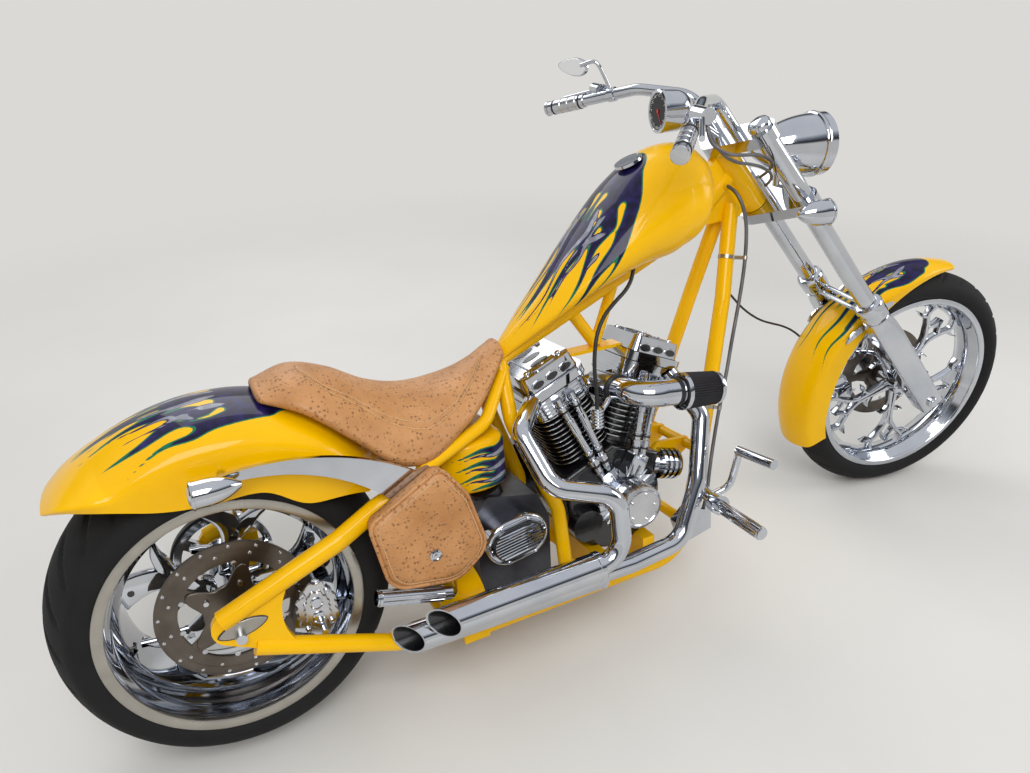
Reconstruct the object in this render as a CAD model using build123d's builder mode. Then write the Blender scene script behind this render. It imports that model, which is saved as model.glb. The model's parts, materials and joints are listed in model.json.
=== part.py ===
from build123d import *
import os
from math import acos, cos, degrees, radians, sin, sqrt, tan

os.makedirs("parts", exist_ok=True)

# Chopper motorcycle, drawn upright and then leaned on its side stand.
# The upright frame has x forward, y to the left, z up, and its origin on the floor below the rear axle.
# The fork frame has z along the steering axis, x square to it and forward, y to the left.
# Lengths are in millimetres and angles in degrees.

# Driving dimensions of the whole motorcycle
WHEELBASE = 1971
LEAN = 10.0
RAKE = 40.0
FORK_OFFSET = 60
STEER_AT_REST = -13.5
SHAFT_CLEARANCE = 0.3
SEAT_GAP = 0.3

# Rear wheel, an 18 inch rim with a 250 tyre
REAR_RADIUS = 329
REAR_TYRE_HALF = 127
REAR_CROWN_RADIUS = 190
REAR_LIP_RADIUS = 246
REAR_LIP_HALF = 122
REAR_BEAD_RADIUS = 229
REAR_SPOKES = 5

# Front wheel, a 21 inch rim with a 120 tyre
FRONT_RADIUS = 350
FRONT_TYRE_HALF = 58
FRONT_CROWN_RADIUS = 62
FRONT_LIP_RADIUS = 281
FRONT_LIP_HALF = 49
FRONT_BEAD_RADIUS = 266
FRONT_SPOKES = 5

# Fork
LEG_HALF_SPACING = 124
TUBE_RADIUS = 24
SLIDER_RADIUS = 32
SLIDER_TOP = 424
SLIDER_BOTTOM = -28
TOP_CLAMP_HEIGHT = 1030
LOW_CLAMP_HEIGHT = 815
CLAMP_THICKNESS = 30
STEM_RADIUS = 14
NECK_RADIUS = 32
BEARING_GAP = 1

# Frame
FRAME_TUBE = 19
RAIL_TUBE = 17
CRADLE_HALF = 130
RAIL_HEIGHT = 112
SWINGARM_TUBE = 20
SWINGARM_HALF = 175
STRUT_INNER = 177
STRUT_BOLT = (394, 543)

# Engine, a 45 degree twin
CRANK_X = 885
CRANK_Z = 300
CYLINDER_ANGLE = 22.5
BARREL_START = 136
BARREL_END = 292
HEAD_END = 342
ROCKER_END = 402
GEARBOX_BOTTOM = 158

# Exhaust
PIPE_RADIUS = 22
SLEEVE_RADIUS = 32

# Places worked out from the driving dimensions
lift = REAR_CROWN_RADIUS * (1 - cos(radians(LEAN)))
rake_sin, rake_cos = sin(radians(RAKE)), cos(radians(RAKE))
steer_sin, steer_cos = sin(radians(STEER_AT_REST)), cos(radians(STEER_AT_REST))
lean_sin, lean_cos = sin(radians(LEAN)), cos(radians(LEAN))

# The steered front wheel stands nearly upright when the motorcycle leans, and its axle
# height follows from its tyre touching the same floor as the rear tyre.
wheel_axis_z = -steer_cos * lean_sin - steer_sin * rake_sin * lean_cos
front_centre_z = (FRONT_RADIUS - FRONT_CROWN_RADIUS) * sqrt(1 - wheel_axis_z**2) + FRONT_CROWN_RADIUS
front_shift_y = FORK_OFFSET * steer_sin
front_drop = FORK_OFFSET * rake_sin * (1 - steer_cos)
FRONT_AXLE_Z = (front_centre_z - lift + front_shift_y * lean_sin) / lean_cos + front_drop

fork_plane = Plane(
    origin=(WHEELBASE - FORK_OFFSET * rake_cos, 0, FRONT_AXLE_Z - FORK_OFFSET * rake_sin),
    x_dir=(rake_cos, 0, rake_sin),
    z_dir=(-rake_sin, 0, rake_cos),
)
parked = Location((0, 0, lift), (-LEAN, 0, 0))
steered = parked * fork_plane.location * Location((0, 0, 0), (0, 0, STEER_AT_REST))

kept = []


def keep(piece, label, place):
    """Remember a finished piece, its name and where its drawing frame stands."""
    piece.part.label = label
    kept.append((label, piece.part, place))


def wheel_section(radius):
    """The plane across a wheel's tread: x to the left, y outwards from the axle."""
    return Plane(origin=(0, 0, radius), x_dir=(0, 1, 0), z_dir=(1, 0, 0))


def side_plane(y, x=0, z=0):
    """A plane seen from the right side, at y: x forward, y up, its normal to the right."""
    return Plane(origin=(x, y, z), x_dir=(1, 0, 0), z_dir=(0, -1, 0))


def add_tube(points, radii, radius):
    """Add a round tube along straight runs that are joined by arcs."""
    with BuildLine() as path:
        if len(points) == 2:
            Line(points[0], points[1])
        else:
            FilletPolyline(*points, radius=radii)
    with BuildSketch(Plane(origin=path.line @ 0, z_dir=path.line % 0)) as ring:
        Circle(radius)
    sweep(ring.sketch, path=path.line)


def add_rod(start, end, radius, mode=Mode.ADD):
    """Add or cut a round rod between two points."""
    direction = Vector(*end) - Vector(*start)
    with BuildSketch(Plane(origin=start, z_dir=direction.normalized())) as disc:
        Circle(radius)
    extrude(disc.sketch, amount=direction.length, mode=mode)


def add_cord(label, points, radius):
    """Add a cord's tube: straight runs joined by the largest arcs that the runs allow."""
    radii = []
    for a, b, c in zip(points, points[1:], points[2:]):
        before = Vector(*b) - Vector(*a)
        after = Vector(*c) - Vector(*b)
        half_turn = radians(before.get_angle(after) / 2)
        radii.append(0.45 * min(before.length, after.length) / tan(half_turn))
    print("cord", label, "smallest arcs", sorted(round(r) for r in radii)[:3])
    add_tube(points, radii, radius)


def mirrored(points):
    """The same points on the left side."""
    return [(x, -y, z) for x, y, z in points]


# Rear wheel
rear_axis = Axis((0, 0, REAR_RADIUS), (0, 1, 0))
RIM_WALL = 8
WELL_HALF = 60
WELL_RADIUS = 204
HUB_RADIUS = 42
HUB_HALF = 62
AXLE_RADIUS = 12.5
AXLE_END_RADIUS = 10
AXLE_END_LENGTH = 16

with BuildPart() as rear_wheel:
    with BuildSketch(wheel_section(REAR_RADIUS)):
        with BuildLine():
            # lateral, radial
            outer = [
                (-REAR_LIP_HALF, REAR_LIP_RADIUS - 10),
                (-REAR_LIP_HALF, REAR_LIP_RADIUS),
                (-REAR_LIP_HALF + 8, REAR_LIP_RADIUS),
                (-REAR_LIP_HALF + 16, REAR_BEAD_RADIUS),
                (-WELL_HALF - 20, REAR_BEAD_RADIUS - 3),
                (-WELL_HALF, WELL_RADIUS + RIM_WALL),
            ]
            inner = [
                (-WELL_HALF, WELL_RADIUS),
                (-WELL_HALF - 22, REAR_BEAD_RADIUS - RIM_WALL - 3),
                (-REAR_LIP_HALF + 12, REAR_BEAD_RADIUS - RIM_WALL),
            ]
            right = [(-x, r) for x, r in reversed(outer)]
            right_inner = [(-x, r) for x, r in reversed(inner)]
            Polyline(*outer, *right, *right_inner, *inner, close=True)
        make_face()
    revolve(axis=rear_axis)
    with BuildSketch(wheel_section(REAR_RADIUS)):
        with Locations((0, HUB_RADIUS / 2)):
            Rectangle(2 * HUB_HALF, HUB_RADIUS)
    revolve(axis=rear_axis)
    with BuildSketch(side_plane(12, z=REAR_RADIUS)):
        with PolarLocations(0, REAR_SPOKES):
            with BuildLine():
                ThreePointArc((-12, HUB_RADIUS - 6), (12, 120), (-34, WELL_RADIUS + 3))
                Line((-34, WELL_RADIUS + 3), (34, WELL_RADIUS + 3))
                ThreePointArc((34, WELL_RADIUS + 3), (52, 112), (30, HUB_RADIUS - 14))
                Line((30, HUB_RADIUS - 14), (-12, HUB_RADIUS - 6))
            make_face()
    extrude(amount=24)
    with BuildSketch(side_plane(REAR_TYRE_HALF, z=REAR_RADIUS)):
        Circle(AXLE_RADIUS + SHAFT_CLEARANCE)
    extrude(amount=2 * REAR_TYRE_HALF, mode=Mode.SUBTRACT)
keep(rear_wheel, "rear_wheel", parked)

with BuildPart() as rear_tyre:
    with BuildSketch(wheel_section(REAR_RADIUS)):
        with BuildLine():
            shoulder = 112
            shoulder_r = REAR_RADIUS - REAR_CROWN_RADIUS + sqrt(REAR_CROWN_RADIUS**2 - shoulder**2)
            bead = REAR_LIP_HALF - 18
            crown = ThreePointArc((-shoulder, shoulder_r), (0, REAR_RADIUS), (shoulder, shoulder_r))
            ThreePointArc((shoulder, shoulder_r), (REAR_TYRE_HALF, 272), (REAR_LIP_HALF + 1, REAR_LIP_RADIUS + 1))
            Polyline(
                (REAR_LIP_HALF + 1, REAR_LIP_RADIUS + 1),
                (REAR_LIP_HALF - 9, REAR_LIP_RADIUS + 1),
                (bead, REAR_BEAD_RADIUS + 1),
                (-bead, REAR_BEAD_RADIUS + 1),
                (-REAR_LIP_HALF + 9, REAR_LIP_RADIUS + 1),
                (-REAR_LIP_HALF - 1, REAR_LIP_RADIUS + 1),
            )
            ThreePointArc((-REAR_LIP_HALF - 1, REAR_LIP_RADIUS + 1), (-REAR_TYRE_HALF, 272), (-shoulder, shoulder_r))
        make_face()
    revolve(axis=rear_axis)
keep(rear_tyre, "rear_tyre", parked)

ROTOR_Y = -84
ROTOR_THICKNESS = 6
ROTOR_OUTER = 146
ROTOR_INNER = 104

with BuildPart() as rear_rotor:
    with BuildSketch(side_plane(ROTOR_Y, z=REAR_RADIUS)):
        Circle(ROTOR_OUTER)
        Circle(ROTOR_INNER, mode=Mode.SUBTRACT)
        with PolarLocations(80, 5):
            Rectangle(60, 26)
        Circle(58)
        Circle(AXLE_RADIUS + 12, mode=Mode.SUBTRACT)
    extrude(amount=ROTOR_THICKNESS)
    with BuildSketch(side_plane(-HUB_HALF, z=REAR_RADIUS)):
        Circle(40)
        Circle(AXLE_RADIUS + 12, mode=Mode.SUBTRACT)
    extrude(amount=-ROTOR_Y - HUB_HALF)
keep(rear_rotor, "rear_rotor", parked)

PULLEY_Y = 148
PULLEY_RADIUS = 104
PULLEY_WIDTH = 16

with BuildPart() as rear_pulley:
    with BuildSketch(side_plane(PULLEY_Y, z=REAR_RADIUS)):
        Circle(PULLEY_RADIUS)
        Circle(PULLEY_RADIUS - 16, mode=Mode.SUBTRACT)
        with PolarLocations(66, 5):
            Rectangle(56, 24)
        Circle(46)
        Circle(AXLE_RADIUS + 12, mode=Mode.SUBTRACT)
    extrude(amount=PULLEY_WIDTH)
    with BuildSketch(side_plane(PULLEY_Y - PULLEY_WIDTH, z=REAR_RADIUS)):
        Circle(40)
        Circle(AXLE_RADIUS + 12, mode=Mode.SUBTRACT)
    extrude(amount=PULLEY_Y - PULLEY_WIDTH - HUB_HALF)
keep(rear_pulley, "rear_pulley", parked)

with BuildPart() as rear_axle:
    add_rod((0, -SWINGARM_HALF - 8, REAR_RADIUS), (0, SWINGARM_HALF + 8, REAR_RADIUS), AXLE_RADIUS)
    # the spacers stop just short of the turning hub
    for side in (-1, 1):
        add_rod((0, side * 118, REAR_RADIUS), (0, side * (SWINGARM_HALF - 8), REAR_RADIUS), 19)
        # the free end outside the swingarm, where a paddock stand holds
        outside = side * (SWINGARM_HALF + 8)
        add_rod((0, outside, REAR_RADIUS), (0, outside + side * AXLE_END_LENGTH, REAR_RADIUS), AXLE_END_RADIUS)
keep(rear_axle, "rear_axle", parked)

SWINGARM_PIVOT = (404, 327)
PIVOT_RADIUS = 10

# Swingarm: an upper and a lower tube on each side, axle plates, ears at the pivot, and cross tubes
upper_tube = [
    (-28, -SWINGARM_HALF, REAR_RADIUS + 37),
    (205, -SWINGARM_HALF, 458),
    (290, -SWINGARM_HALF + 22, 491.5),
    (352, -SWINGARM_HALF + 22, 516),
]
lower_tube = [
    (20, -SWINGARM_HALF, REAR_RADIUS - 37),
    (290, -SWINGARM_HALF, 186),
    (420, -SWINGARM_HALF, 186),
]

with BuildPart() as swingarm:
    for points in (upper_tube, mirrored(upper_tube)):
        add_tube(points, 60, SWINGARM_TUBE)
    for points in (lower_tube, mirrored(lower_tube)):
        add_tube(points, 60, SWINGARM_TUBE - 2)
    for y in (-SWINGARM_HALF + 8, SWINGARM_HALF + 8):
        with BuildSketch(side_plane(y, z=REAR_RADIUS)):
            with BuildLine():
                ThreePointArc((-20, 55), (-48, 23), (-28, -11))
                Polyline((-28, -11), (60, -59), (120, -79))
                ThreePointArc((120, -79), (84, -29), (92, 63))
                Polyline((92, 63), (50, 71), (-20, 55))
            make_face()
        extrude(amount=16)
        with BuildSketch(side_plane(y)):
            with BuildLine():
                Polyline((398, 178), (388, 250), (376, 320))
                ThreePointArc((376, 320), (404, 358), (432, 322))
                Polyline((432, 322), (418, 280), (446, 220), (446, 178), (398, 178))
            make_face()
        extrude(amount=16)
    add_rod((405, -SWINGARM_HALF, 196), (405, SWINGARM_HALF, 196), 18)
    add_rod((360, -SWINGARM_HALF + 19, 519), (360, SWINGARM_HALF - 19, 519), 14)
    pivot_x, pivot_z = SWINGARM_PIVOT
    add_rod((pivot_x, -SWINGARM_HALF - 12, pivot_z), (pivot_x, SWINGARM_HALF + 12, pivot_z), PIVOT_RADIUS)
    with BuildSketch(side_plane(SWINGARM_HALF + 20, z=REAR_RADIUS)):
        Circle(AXLE_RADIUS)
    extrude(amount=2 * SWINGARM_HALF + 40, mode=Mode.SUBTRACT)
keep(swingarm, "swingarm", parked)

PIN_X = 150
pin_share = (PIN_X - lower_tube[0][0]) / (lower_tube[1][0] - lower_tube[0][0])
pin_height = lower_tube[0][2] + pin_share * (lower_tube[1][2] - lower_tube[0][2]) + SWINGARM_TUBE + 1

with BuildPart() as rear_caliper:
    with BuildSketch(side_plane(-58, z=REAR_RADIUS)):
        with BuildLine():
            Polyline((96, -67), (150, -97), (186, -67), (186, 13), (150, 37), (118, 11), (96, -67))
        make_face()
    extrude(amount=72)
    fillet(rear_caliper.edges().filter_by(Axis.Y), 8)
    with BuildSketch(side_plane(ROTOR_Y + 6, z=REAR_RADIUS)):
        with BuildLine():
            Polyline((60, -129), (156, -129), (156, 71), (60, 71), (60, -129))
        make_face()
    extrude(amount=ROTOR_THICKNESS + 12, mode=Mode.SUBTRACT)
    add_rod((PIN_X, -130, pin_height), (PIN_X, -SWINGARM_HALF + 8, pin_height), 7)
    add(swingarm.part, mode=Mode.SUBTRACT)
keep(rear_caliper, "rear_caliper", parked)

# Rear fender: an arched sheet, drawn as sections round the axle
FENDER_SHEET = 5
# angle round the axle from straight ahead, crown radius, half width, skirt radius
rear_fender_sections = [
    (35, 412, 150, 345),
    (48, 424, 151, 276),
    (70, 424, 151, 270),
    (92, 414, 151, 256),
    (112, 404, 150, 296),
    (121, 401, 147, 342),
    (127, 399, 124, 372),
    (132, 397, 84, 385),
]


def fender_section(axle_x, axle_z, angle, crown, half, skirt, sheet):
    """Draw one section of an arched fender in its plane through the wheel's axle."""
    a = radians(angle)
    shoulder = crown - min(0.36 * half, 0.6 * (crown - skirt))
    edge = half * 0.97
    plane = Plane(origin=(axle_x, 0, axle_z), x_dir=(0, -1, 0), z_dir=(-sin(a), 0, cos(a)))
    with BuildSketch(plane) as section:
        with BuildLine():
            Line((-edge, skirt), (-half, shoulder))
            ThreePointArc((-half, shoulder), (0, crown), (half, shoulder))
            Polyline((half, shoulder), (edge, skirt), (edge - sheet, skirt), (half - sheet, shoulder))
            ThreePointArc((half - sheet, shoulder), (0, crown - sheet), (-half + sheet, shoulder))
            Polyline((-half + sheet, shoulder), (-edge + sheet, skirt), (-edge, skirt))
        make_face()
    return section.sketch


with BuildPart() as rear_fender:
    loft([fender_section(0, REAR_RADIUS, *row, FENDER_SHEET) for row in rear_fender_sections])
keep(rear_fender, "rear_fender", parked)

with BuildPart() as fender_struts:
    for y in (-STRUT_INNER, STRUT_INNER + 12):
        with BuildSketch(side_plane(y)):
            with BuildLine():
                ThreePointArc((6, 648), (200, 640), (372, 562))
                Polyline((372, 562), (398, 566), (404, 540), (344, 502), (326, 506))
                ThreePointArc((326, 506), (190, 606), (6, 634))
                Line((6, 634), (6, 648))
            make_face()
        extrude(amount=12)
    # studs to the fender's sides and to the swingarm, x and z
    for side in (-1, 1):
        for x, z in ((30, 641), (150, 625), (262, 577)):
            add_rod((x, side * 147, z), (x, side * (STRUT_INNER + 1), z), 8)
        add_rod((338, side * 160, 514), (338, side * (STRUT_INNER + 1), 514), 9)
    add(rear_fender.part, mode=Mode.SUBTRACT)
    add(swingarm.part, mode=Mode.SUBTRACT)
keep(fender_struts, "fender_struts", parked)

with BuildPart() as rear_signals:
    for side in (-1, 1):
        base = (-22, side * 213.5, 640)
        with BuildSketch(Plane(origin=base, x_dir=(1, 0, 0), z_dir=(0, -1, 0))):
            with BuildLine():
                Polyline((0, 0), (0, 24), (16, 24))
                ThreePointArc((16, 24), (56, 18), (80, 5))
                Polyline((80, 5), (82, 0), (0, 0))
            make_face()
        revolve(axis=Axis(base, (1, 0, 0)))
        add_rod((24, side * 189.2, 640), (24, side * 200, 640), 6)
keep(rear_signals, "rear_signals", parked)

# Frame spine: neck, backbone under the tank, seat rails and seat posts
backbone = [(1296, 0, 1020), (1170, 0, 912), (640, 0, 690)]
seat_rail = [(652, -14, 672), (560, -104, 590), (394, -150, 542)]
TOP_MOUNT = (902, 0, 676)
seat_post = [(645, -10, 684), (636, -66, 560), (720, -102, 330), (722, -CRADLE_HALF, RAIL_HEIGHT + 10)]

with BuildPart() as frame_spine:
    with BuildSketch(fork_plane.offset(LOW_CLAMP_HEIGHT + CLAMP_THICKNESS / 2 + BEARING_GAP)):
        Circle(NECK_RADIUS)
    extrude(amount=TOP_CLAMP_HEIGHT - LOW_CLAMP_HEIGHT - CLAMP_THICKNESS - 2 * BEARING_GAP)
    add_tube(backbone, 120, FRAME_TUBE + 4)
    for points in (seat_rail, mirrored(seat_rail)):
        add_tube(points, 90, RAIL_TUBE - 3)
    for points in (seat_post, mirrored(seat_post)):
        add_tube(points, [70, 70], RAIL_TUBE)
    # the engine's top mount: two legs down from the backbone to a bridge between the heads
    add_rod((838, 0, 768), TOP_MOUNT, 15)
    add_rod((962, 0, 818), TOP_MOUNT, 13)
    with BuildSketch(Plane.XY.offset(TOP_MOUNT[2] - 14)):
        with Locations((CRANK_X, 0)):
            RectangleRounded(160, 44, 8)
    extrude(amount=8)
    # bosses that carry the front ends of the fender struts
    for side in (-1, 1):
        add_rod((STRUT_BOLT[0], side * 140, STRUT_BOLT[1]), (STRUT_BOLT[0], side * STRUT_INNER, STRUT_BOLT[1]), 11)
    # the socket of the hose that runs down the right tube
    add_rod((1278, 0, 1004), (1278, -28, 1004), 8)
    # plates that gusset the neck to the backbone
    with BuildSketch(side_plane(14)):
        with BuildLine():
            Polyline((1262, 1075), (1180, 1000), (1170, 912), (1330, 925), (1362, 952), (1262, 1075))
        make_face()
    extrude(amount=28)
    with BuildSketch(fork_plane.offset(LOW_CLAMP_HEIGHT)):
        Circle(STEM_RADIUS + 6)
    extrude(amount=TOP_CLAMP_HEIGHT - LOW_CLAMP_HEIGHT, mode=Mode.SUBTRACT)
keep(frame_spine, "frame_spine", parked)

# Frame cradle: down tubes that turn back under the engine, with pivot plates behind
down_tube = [
    (1300, -16, 958),
    (1240, -60, 740),
    (1110, -CRADLE_HALF + 8, 318),
    (1052, -CRADLE_HALF, RAIL_HEIGHT),
    (452, -CRADLE_HALF, RAIL_HEIGHT),
]

engine_bars = [(560, GEARBOX_BOTTOM), (650, GEARBOX_BOTTOM), (815, 190), (955, 190)]

with BuildPart() as frame_cradle:
    for points in (down_tube, mirrored(down_tube)):
        add_tube(points, [300, 300, 110], FRAME_TUBE)
    for y in (-CRADLE_HALF - 6, CRADLE_HALF - 8):
        with BuildSketch(side_plane(y)):
            with BuildLine():
                Polyline((440, 98), (436, 300), (446, 344))
                ThreePointArc((446, 344), (492, 250), (500, 98))
                Line((500, 98), (440, 98))
            make_face()
        extrude(amount=16)
        with BuildSketch(side_plane(y)):
            with Locations(SWINGARM_PIVOT):
                Circle(26)
            with Locations((SWINGARM_PIVOT[0] + 30, SWINGARM_PIVOT[1] - 20)):
                Rectangle(60, 34)
        extrude(amount=16)
    add_rod((470, -CRADLE_HALF, 150), (470, CRADLE_HALF - 10, 150), 16)
    add_rod((1075, -CRADLE_HALF, 190), (1075, CRADLE_HALF, 190), 14)
    # a clip for the front brake's hose on the right down tube
    add_rod((1240, -60, 736), (1259, -56, 737), 5)
    # the engine's front mount hangs behind the down tubes
    add_rod((1128, -108, 376), (1128, 108, 376), 13)
    for y in (-44, 56):
        with BuildSketch(side_plane(y)):
            with BuildLine():
                Polyline((1136, 390), (1136, 362), (1044, 300), (1008, 300), (1008, 372), (1040, 398), (1136, 390))
            make_face()
        extrude(amount=12)
    # bars under the gearbox and the engine: x, top height
    for x, top in engine_bars:
        with BuildSketch(Plane.XY.offset(RAIL_HEIGHT)):
            with Locations((x, 0)):
                Rectangle(34, 2 * CRADLE_HALF)
        extrude(amount=top - RAIL_HEIGHT)
    with BuildSketch(side_plane(SWINGARM_HALF)):
        with Locations(SWINGARM_PIVOT):
            Circle(PIVOT_RADIUS)
    extrude(amount=2 * SWINGARM_HALF, mode=Mode.SUBTRACT)
    add(frame_spine.part, mode=Mode.SUBTRACT)
keep(frame_cradle, "frame_cradle", parked)


# Fuel tank: sections across the motorcycle from its tail to its front
# x, underside height, top height, half width at the widest, half width of the underside
tank_sections = [
    (646, 690, 718, 26, 16),
    (735, 752, 800, 72, 48),
    (860, 818, 938, 112, 70),
    (985, 862, 1060, 134, 80),
    (1090, 886, 1114, 136, 84),
    (1160, 930, 1108, 116, 70),
    (1186, 975, 1090, 84, 50),
]

with BuildPart() as fuel_tank:
    for x, low, top, half, base in tank_sections:
        height = top - low
        with BuildSketch(Plane(origin=(x, 0, low), x_dir=(0, -1, 0), z_dir=(-1, 0, 0))):
            with BuildLine():
                Line((-base, 0), (base, 0))
                ThreePointArc((base, 0), (half * 0.97, height * 0.24), (half, height * 0.45))
                ThreePointArc((half, height * 0.45), (0, height), (-half, height * 0.45))
                ThreePointArc((-half, height * 0.45), (-half * 0.97, height * 0.24), (-base, 0))
            make_face()
    loft()
    add_rod((1300, 0, 966.5), (600, 0, 673.2), FRAME_TUBE + 6, mode=Mode.SUBTRACT)
    add(frame_spine.part, mode=Mode.SUBTRACT)
keep(fuel_tank, "fuel_tank", parked)

with BuildPart() as fuel_cap:
    with BuildSketch(Plane(origin=(1012, 0, 1082), x_dir=(0, 1, 0), z_dir=(-0.42, 0, 0.91))):
        Circle(34)
    extrude(amount=6, taper=12)
    add(fuel_tank.part, mode=Mode.SUBTRACT)
keep(fuel_cap, "fuel_cap", parked)

with BuildPart() as oil_tank:
    with BuildSketch(Plane.XY.offset(438)):
        with BuildLine():
            Polyline((452, -96), (452, 96))
            ThreePointArc((452, 96), (530, 126), (596, 104))
            Line((596, 104), (596, -104))
            ThreePointArc((596, -104), (530, -126), (452, -96))
        make_face()
    extrude(amount=122)
    chamfer(oil_tank.edges().filter_by(Axis.Y), 18)
    add(frame_spine.part, mode=Mode.SUBTRACT)
keep(oil_tank, "oil_tank", parked)

# Seat: sections across, from the raised tail to the nose on the tank
# x, heights of the underside and the top at the middle above the rear axle, half width,
# drop of the edge, height of the edge
seat_sections = [
    (126, 411, 425, 76, 14, 10),
    (190, 398, 442, 118, 24, 20),
    (270, 371, 419, 148, 62, 24),
    (345, 330, 375, 158, 90, 24),
    (410, 306, 354, 156, 80, 24),
    (490, 304, 352, 134, 44, 24),
    (575, 326, 373, 84, 22, 24),
    (638, 377, 409, 44, 8, 22),
]

with BuildPart() as seat:
    for x, low, top, half, drop, rim in seat_sections:
        with BuildSketch(Plane(origin=(x, 0, REAR_RADIUS), x_dir=(0, -1, 0), z_dir=(-1, 0, 0))):
            with BuildLine():
                ThreePointArc((-half, low - drop), (0, low), (half, low - drop))
                Line((half, low - drop), (half, low - drop + rim))
                ThreePointArc((half, low - drop + rim), (0, top), (-half, low - drop + rim))
                Line((-half, low - drop + rim), (-half, low - drop))
            make_face()
    loft()
    add(frame_spine.part, mode=Mode.SUBTRACT)
keep(seat, "seat", parked)

BAG_INNER = -STRUT_INNER - 12 - SEAT_GAP
with BuildPart() as saddle_bag:
    with BuildSketch(side_plane(BAG_INNER)):
        with BuildLine():
            FilletPolyline(
                (410, 574), (256, 492), (280, 340), (420, 318), (496, 376), (470, 530),
                radius=[20, 26, 50, 60, 46, 30],
                close=True,
            )
        make_face()
    extrude(amount=52)
    fillet(saddle_bag.faces().sort_by(Axis.Y)[0].edges(), 12)
keep(saddle_bag, "saddle_bag", parked)

# Engine
CASE_HALF = 92
barrel_side = 78


def cylinder_plane(tilt, distance):
    """A plane square to a cylinder's axis, at a distance from the crankshaft."""
    a = radians(tilt)
    origin = (CRANK_X + distance * sin(a), 0, CRANK_Z + distance * cos(a))
    return Plane(origin=origin, x_dir=(cos(a), 0, -sin(a)), z_dir=(sin(a), 0, cos(a)))


with BuildPart() as crankcase:
    with BuildSketch(side_plane(CASE_HALF)):
        with BuildLine():
            ThreePointArc((CRANK_X - 128, CRANK_Z - 10), (CRANK_X, CRANK_Z - 132), (CRANK_X + 128, CRANK_Z - 10))
            Polyline(
                (CRANK_X + 128, CRANK_Z - 10),
                (CRANK_X + 132, CRANK_Z + 92),
                (CRANK_X, CRANK_Z + 146),
                (CRANK_X - 132, CRANK_Z + 92),
                (CRANK_X - 128, CRANK_Z - 10),
            )
        make_face()
    extrude(amount=2 * CASE_HALF)
    fillet(crankcase.faces().filter_by(Plane.XZ).edges(), 10)
    # the starter's end cap below the rear cylinder
    add_rod((792, -CASE_HALF + 6, 266), (792, -CASE_HALF - 24, 266), 40)
    add(frame_cradle.part, mode=Mode.SUBTRACT)
keep(crankcase, "crankcase", parked)

FINS = 11
with BuildPart() as cylinders:
    for tilt in (-CYLINDER_ANGLE, CYLINDER_ANGLE):
        with BuildSketch(cylinder_plane(tilt, BARREL_START)):
            Circle(62)
        extrude(amount=BARREL_END - BARREL_START)
        pitch = (BARREL_END - BARREL_START - 14) / FINS
        for i in range(FINS):
            with BuildSketch(cylinder_plane(tilt, BARREL_START + 16 + i * pitch)):
                RectangleRounded(2 * barrel_side - 4, 2 * barrel_side - 4, 40)
            extrude(amount=4)
keep(cylinders, "cylinders", parked)

with BuildPart() as cylinder_heads:
    for tilt in (-CYLINDER_ANGLE, CYLINDER_ANGLE):
        with BuildSketch(cylinder_plane(tilt, BARREL_END)):
            RectangleRounded(2 * barrel_side, 2 * barrel_side + 10, 34)
        extrude(amount=HEAD_END - BARREL_END)
        with BuildSketch(cylinder_plane(tilt, HEAD_END)):
            RectangleRounded(2 * barrel_side + 4, 2 * barrel_side + 18, 24)
        extrude(amount=22)
        with BuildSketch(cylinder_plane(tilt, HEAD_END + 22)):
            RectangleRounded(2 * barrel_side - 14, 2 * barrel_side, 22)
        extrude(amount=ROCKER_END - HEAD_END - 22, taper=8)
    add(frame_spine.part, mode=Mode.SUBTRACT)
keep(cylinder_heads, "cylinder_heads", parked)

CAM_X = 893
CAM_Z = 322
with BuildPart() as cam_cover:
    with BuildSketch(side_plane(-CASE_HALF)):
        with BuildLine():
            ThreePointArc((CAM_X - 62, CAM_Z + 70), (CAM_X - 74, CAM_Z - 30), (CAM_X - 20, CAM_Z - 90))
            ThreePointArc((CAM_X - 20, CAM_Z - 90), (CAM_X + 70, CAM_Z - 60), (CAM_X + 86, CAM_Z + 40))
            Line((CAM_X + 86, CAM_Z + 40), (CAM_X - 62, CAM_Z + 70))
        make_face()
    extrude(amount=40, taper=4)
    add_rod((CAM_X, -CASE_HALF - 30, CAM_Z), (CAM_X, -CASE_HALF - 100, CAM_Z), 42)
    add(crankcase.part, mode=Mode.SUBTRACT)
keep(cam_cover, "cam_cover", parked)

with BuildPart() as pushrods:
    # foot x and z, head x and z
    rods = [
        (838, 386, 742, 596),
        (858, 392, 778, 606),
        (928, 404, 988, 606),
        (950, 398, 1018, 590),
    ]
    for foot_x, foot_z, head_x, head_z in rods:
        add_rod((foot_x, -112, foot_z), (head_x, -90, head_z), 9)
    # tappet blocks: foot x and z, head x and z
    for block_x, block_z, top_x, top_z in ((866, 356, 842, 402), (918, 366, 942, 416)):
        base = Vector(block_x, -108, block_z)
        rise = Vector(top_x, -114, top_z) - base
        with BuildSketch(Plane(origin=base, x_dir=(0, 1, 0), z_dir=rise.normalized())) as block:
            RectangleRounded(44, 50, 8)
        extrude(block.sketch, amount=rise.length, taper=4)
    for neighbour in (crankcase, cylinder_heads, cam_cover):
        add(neighbour.part, mode=Mode.SUBTRACT)
keep(pushrods, "pushrods", parked)

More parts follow.
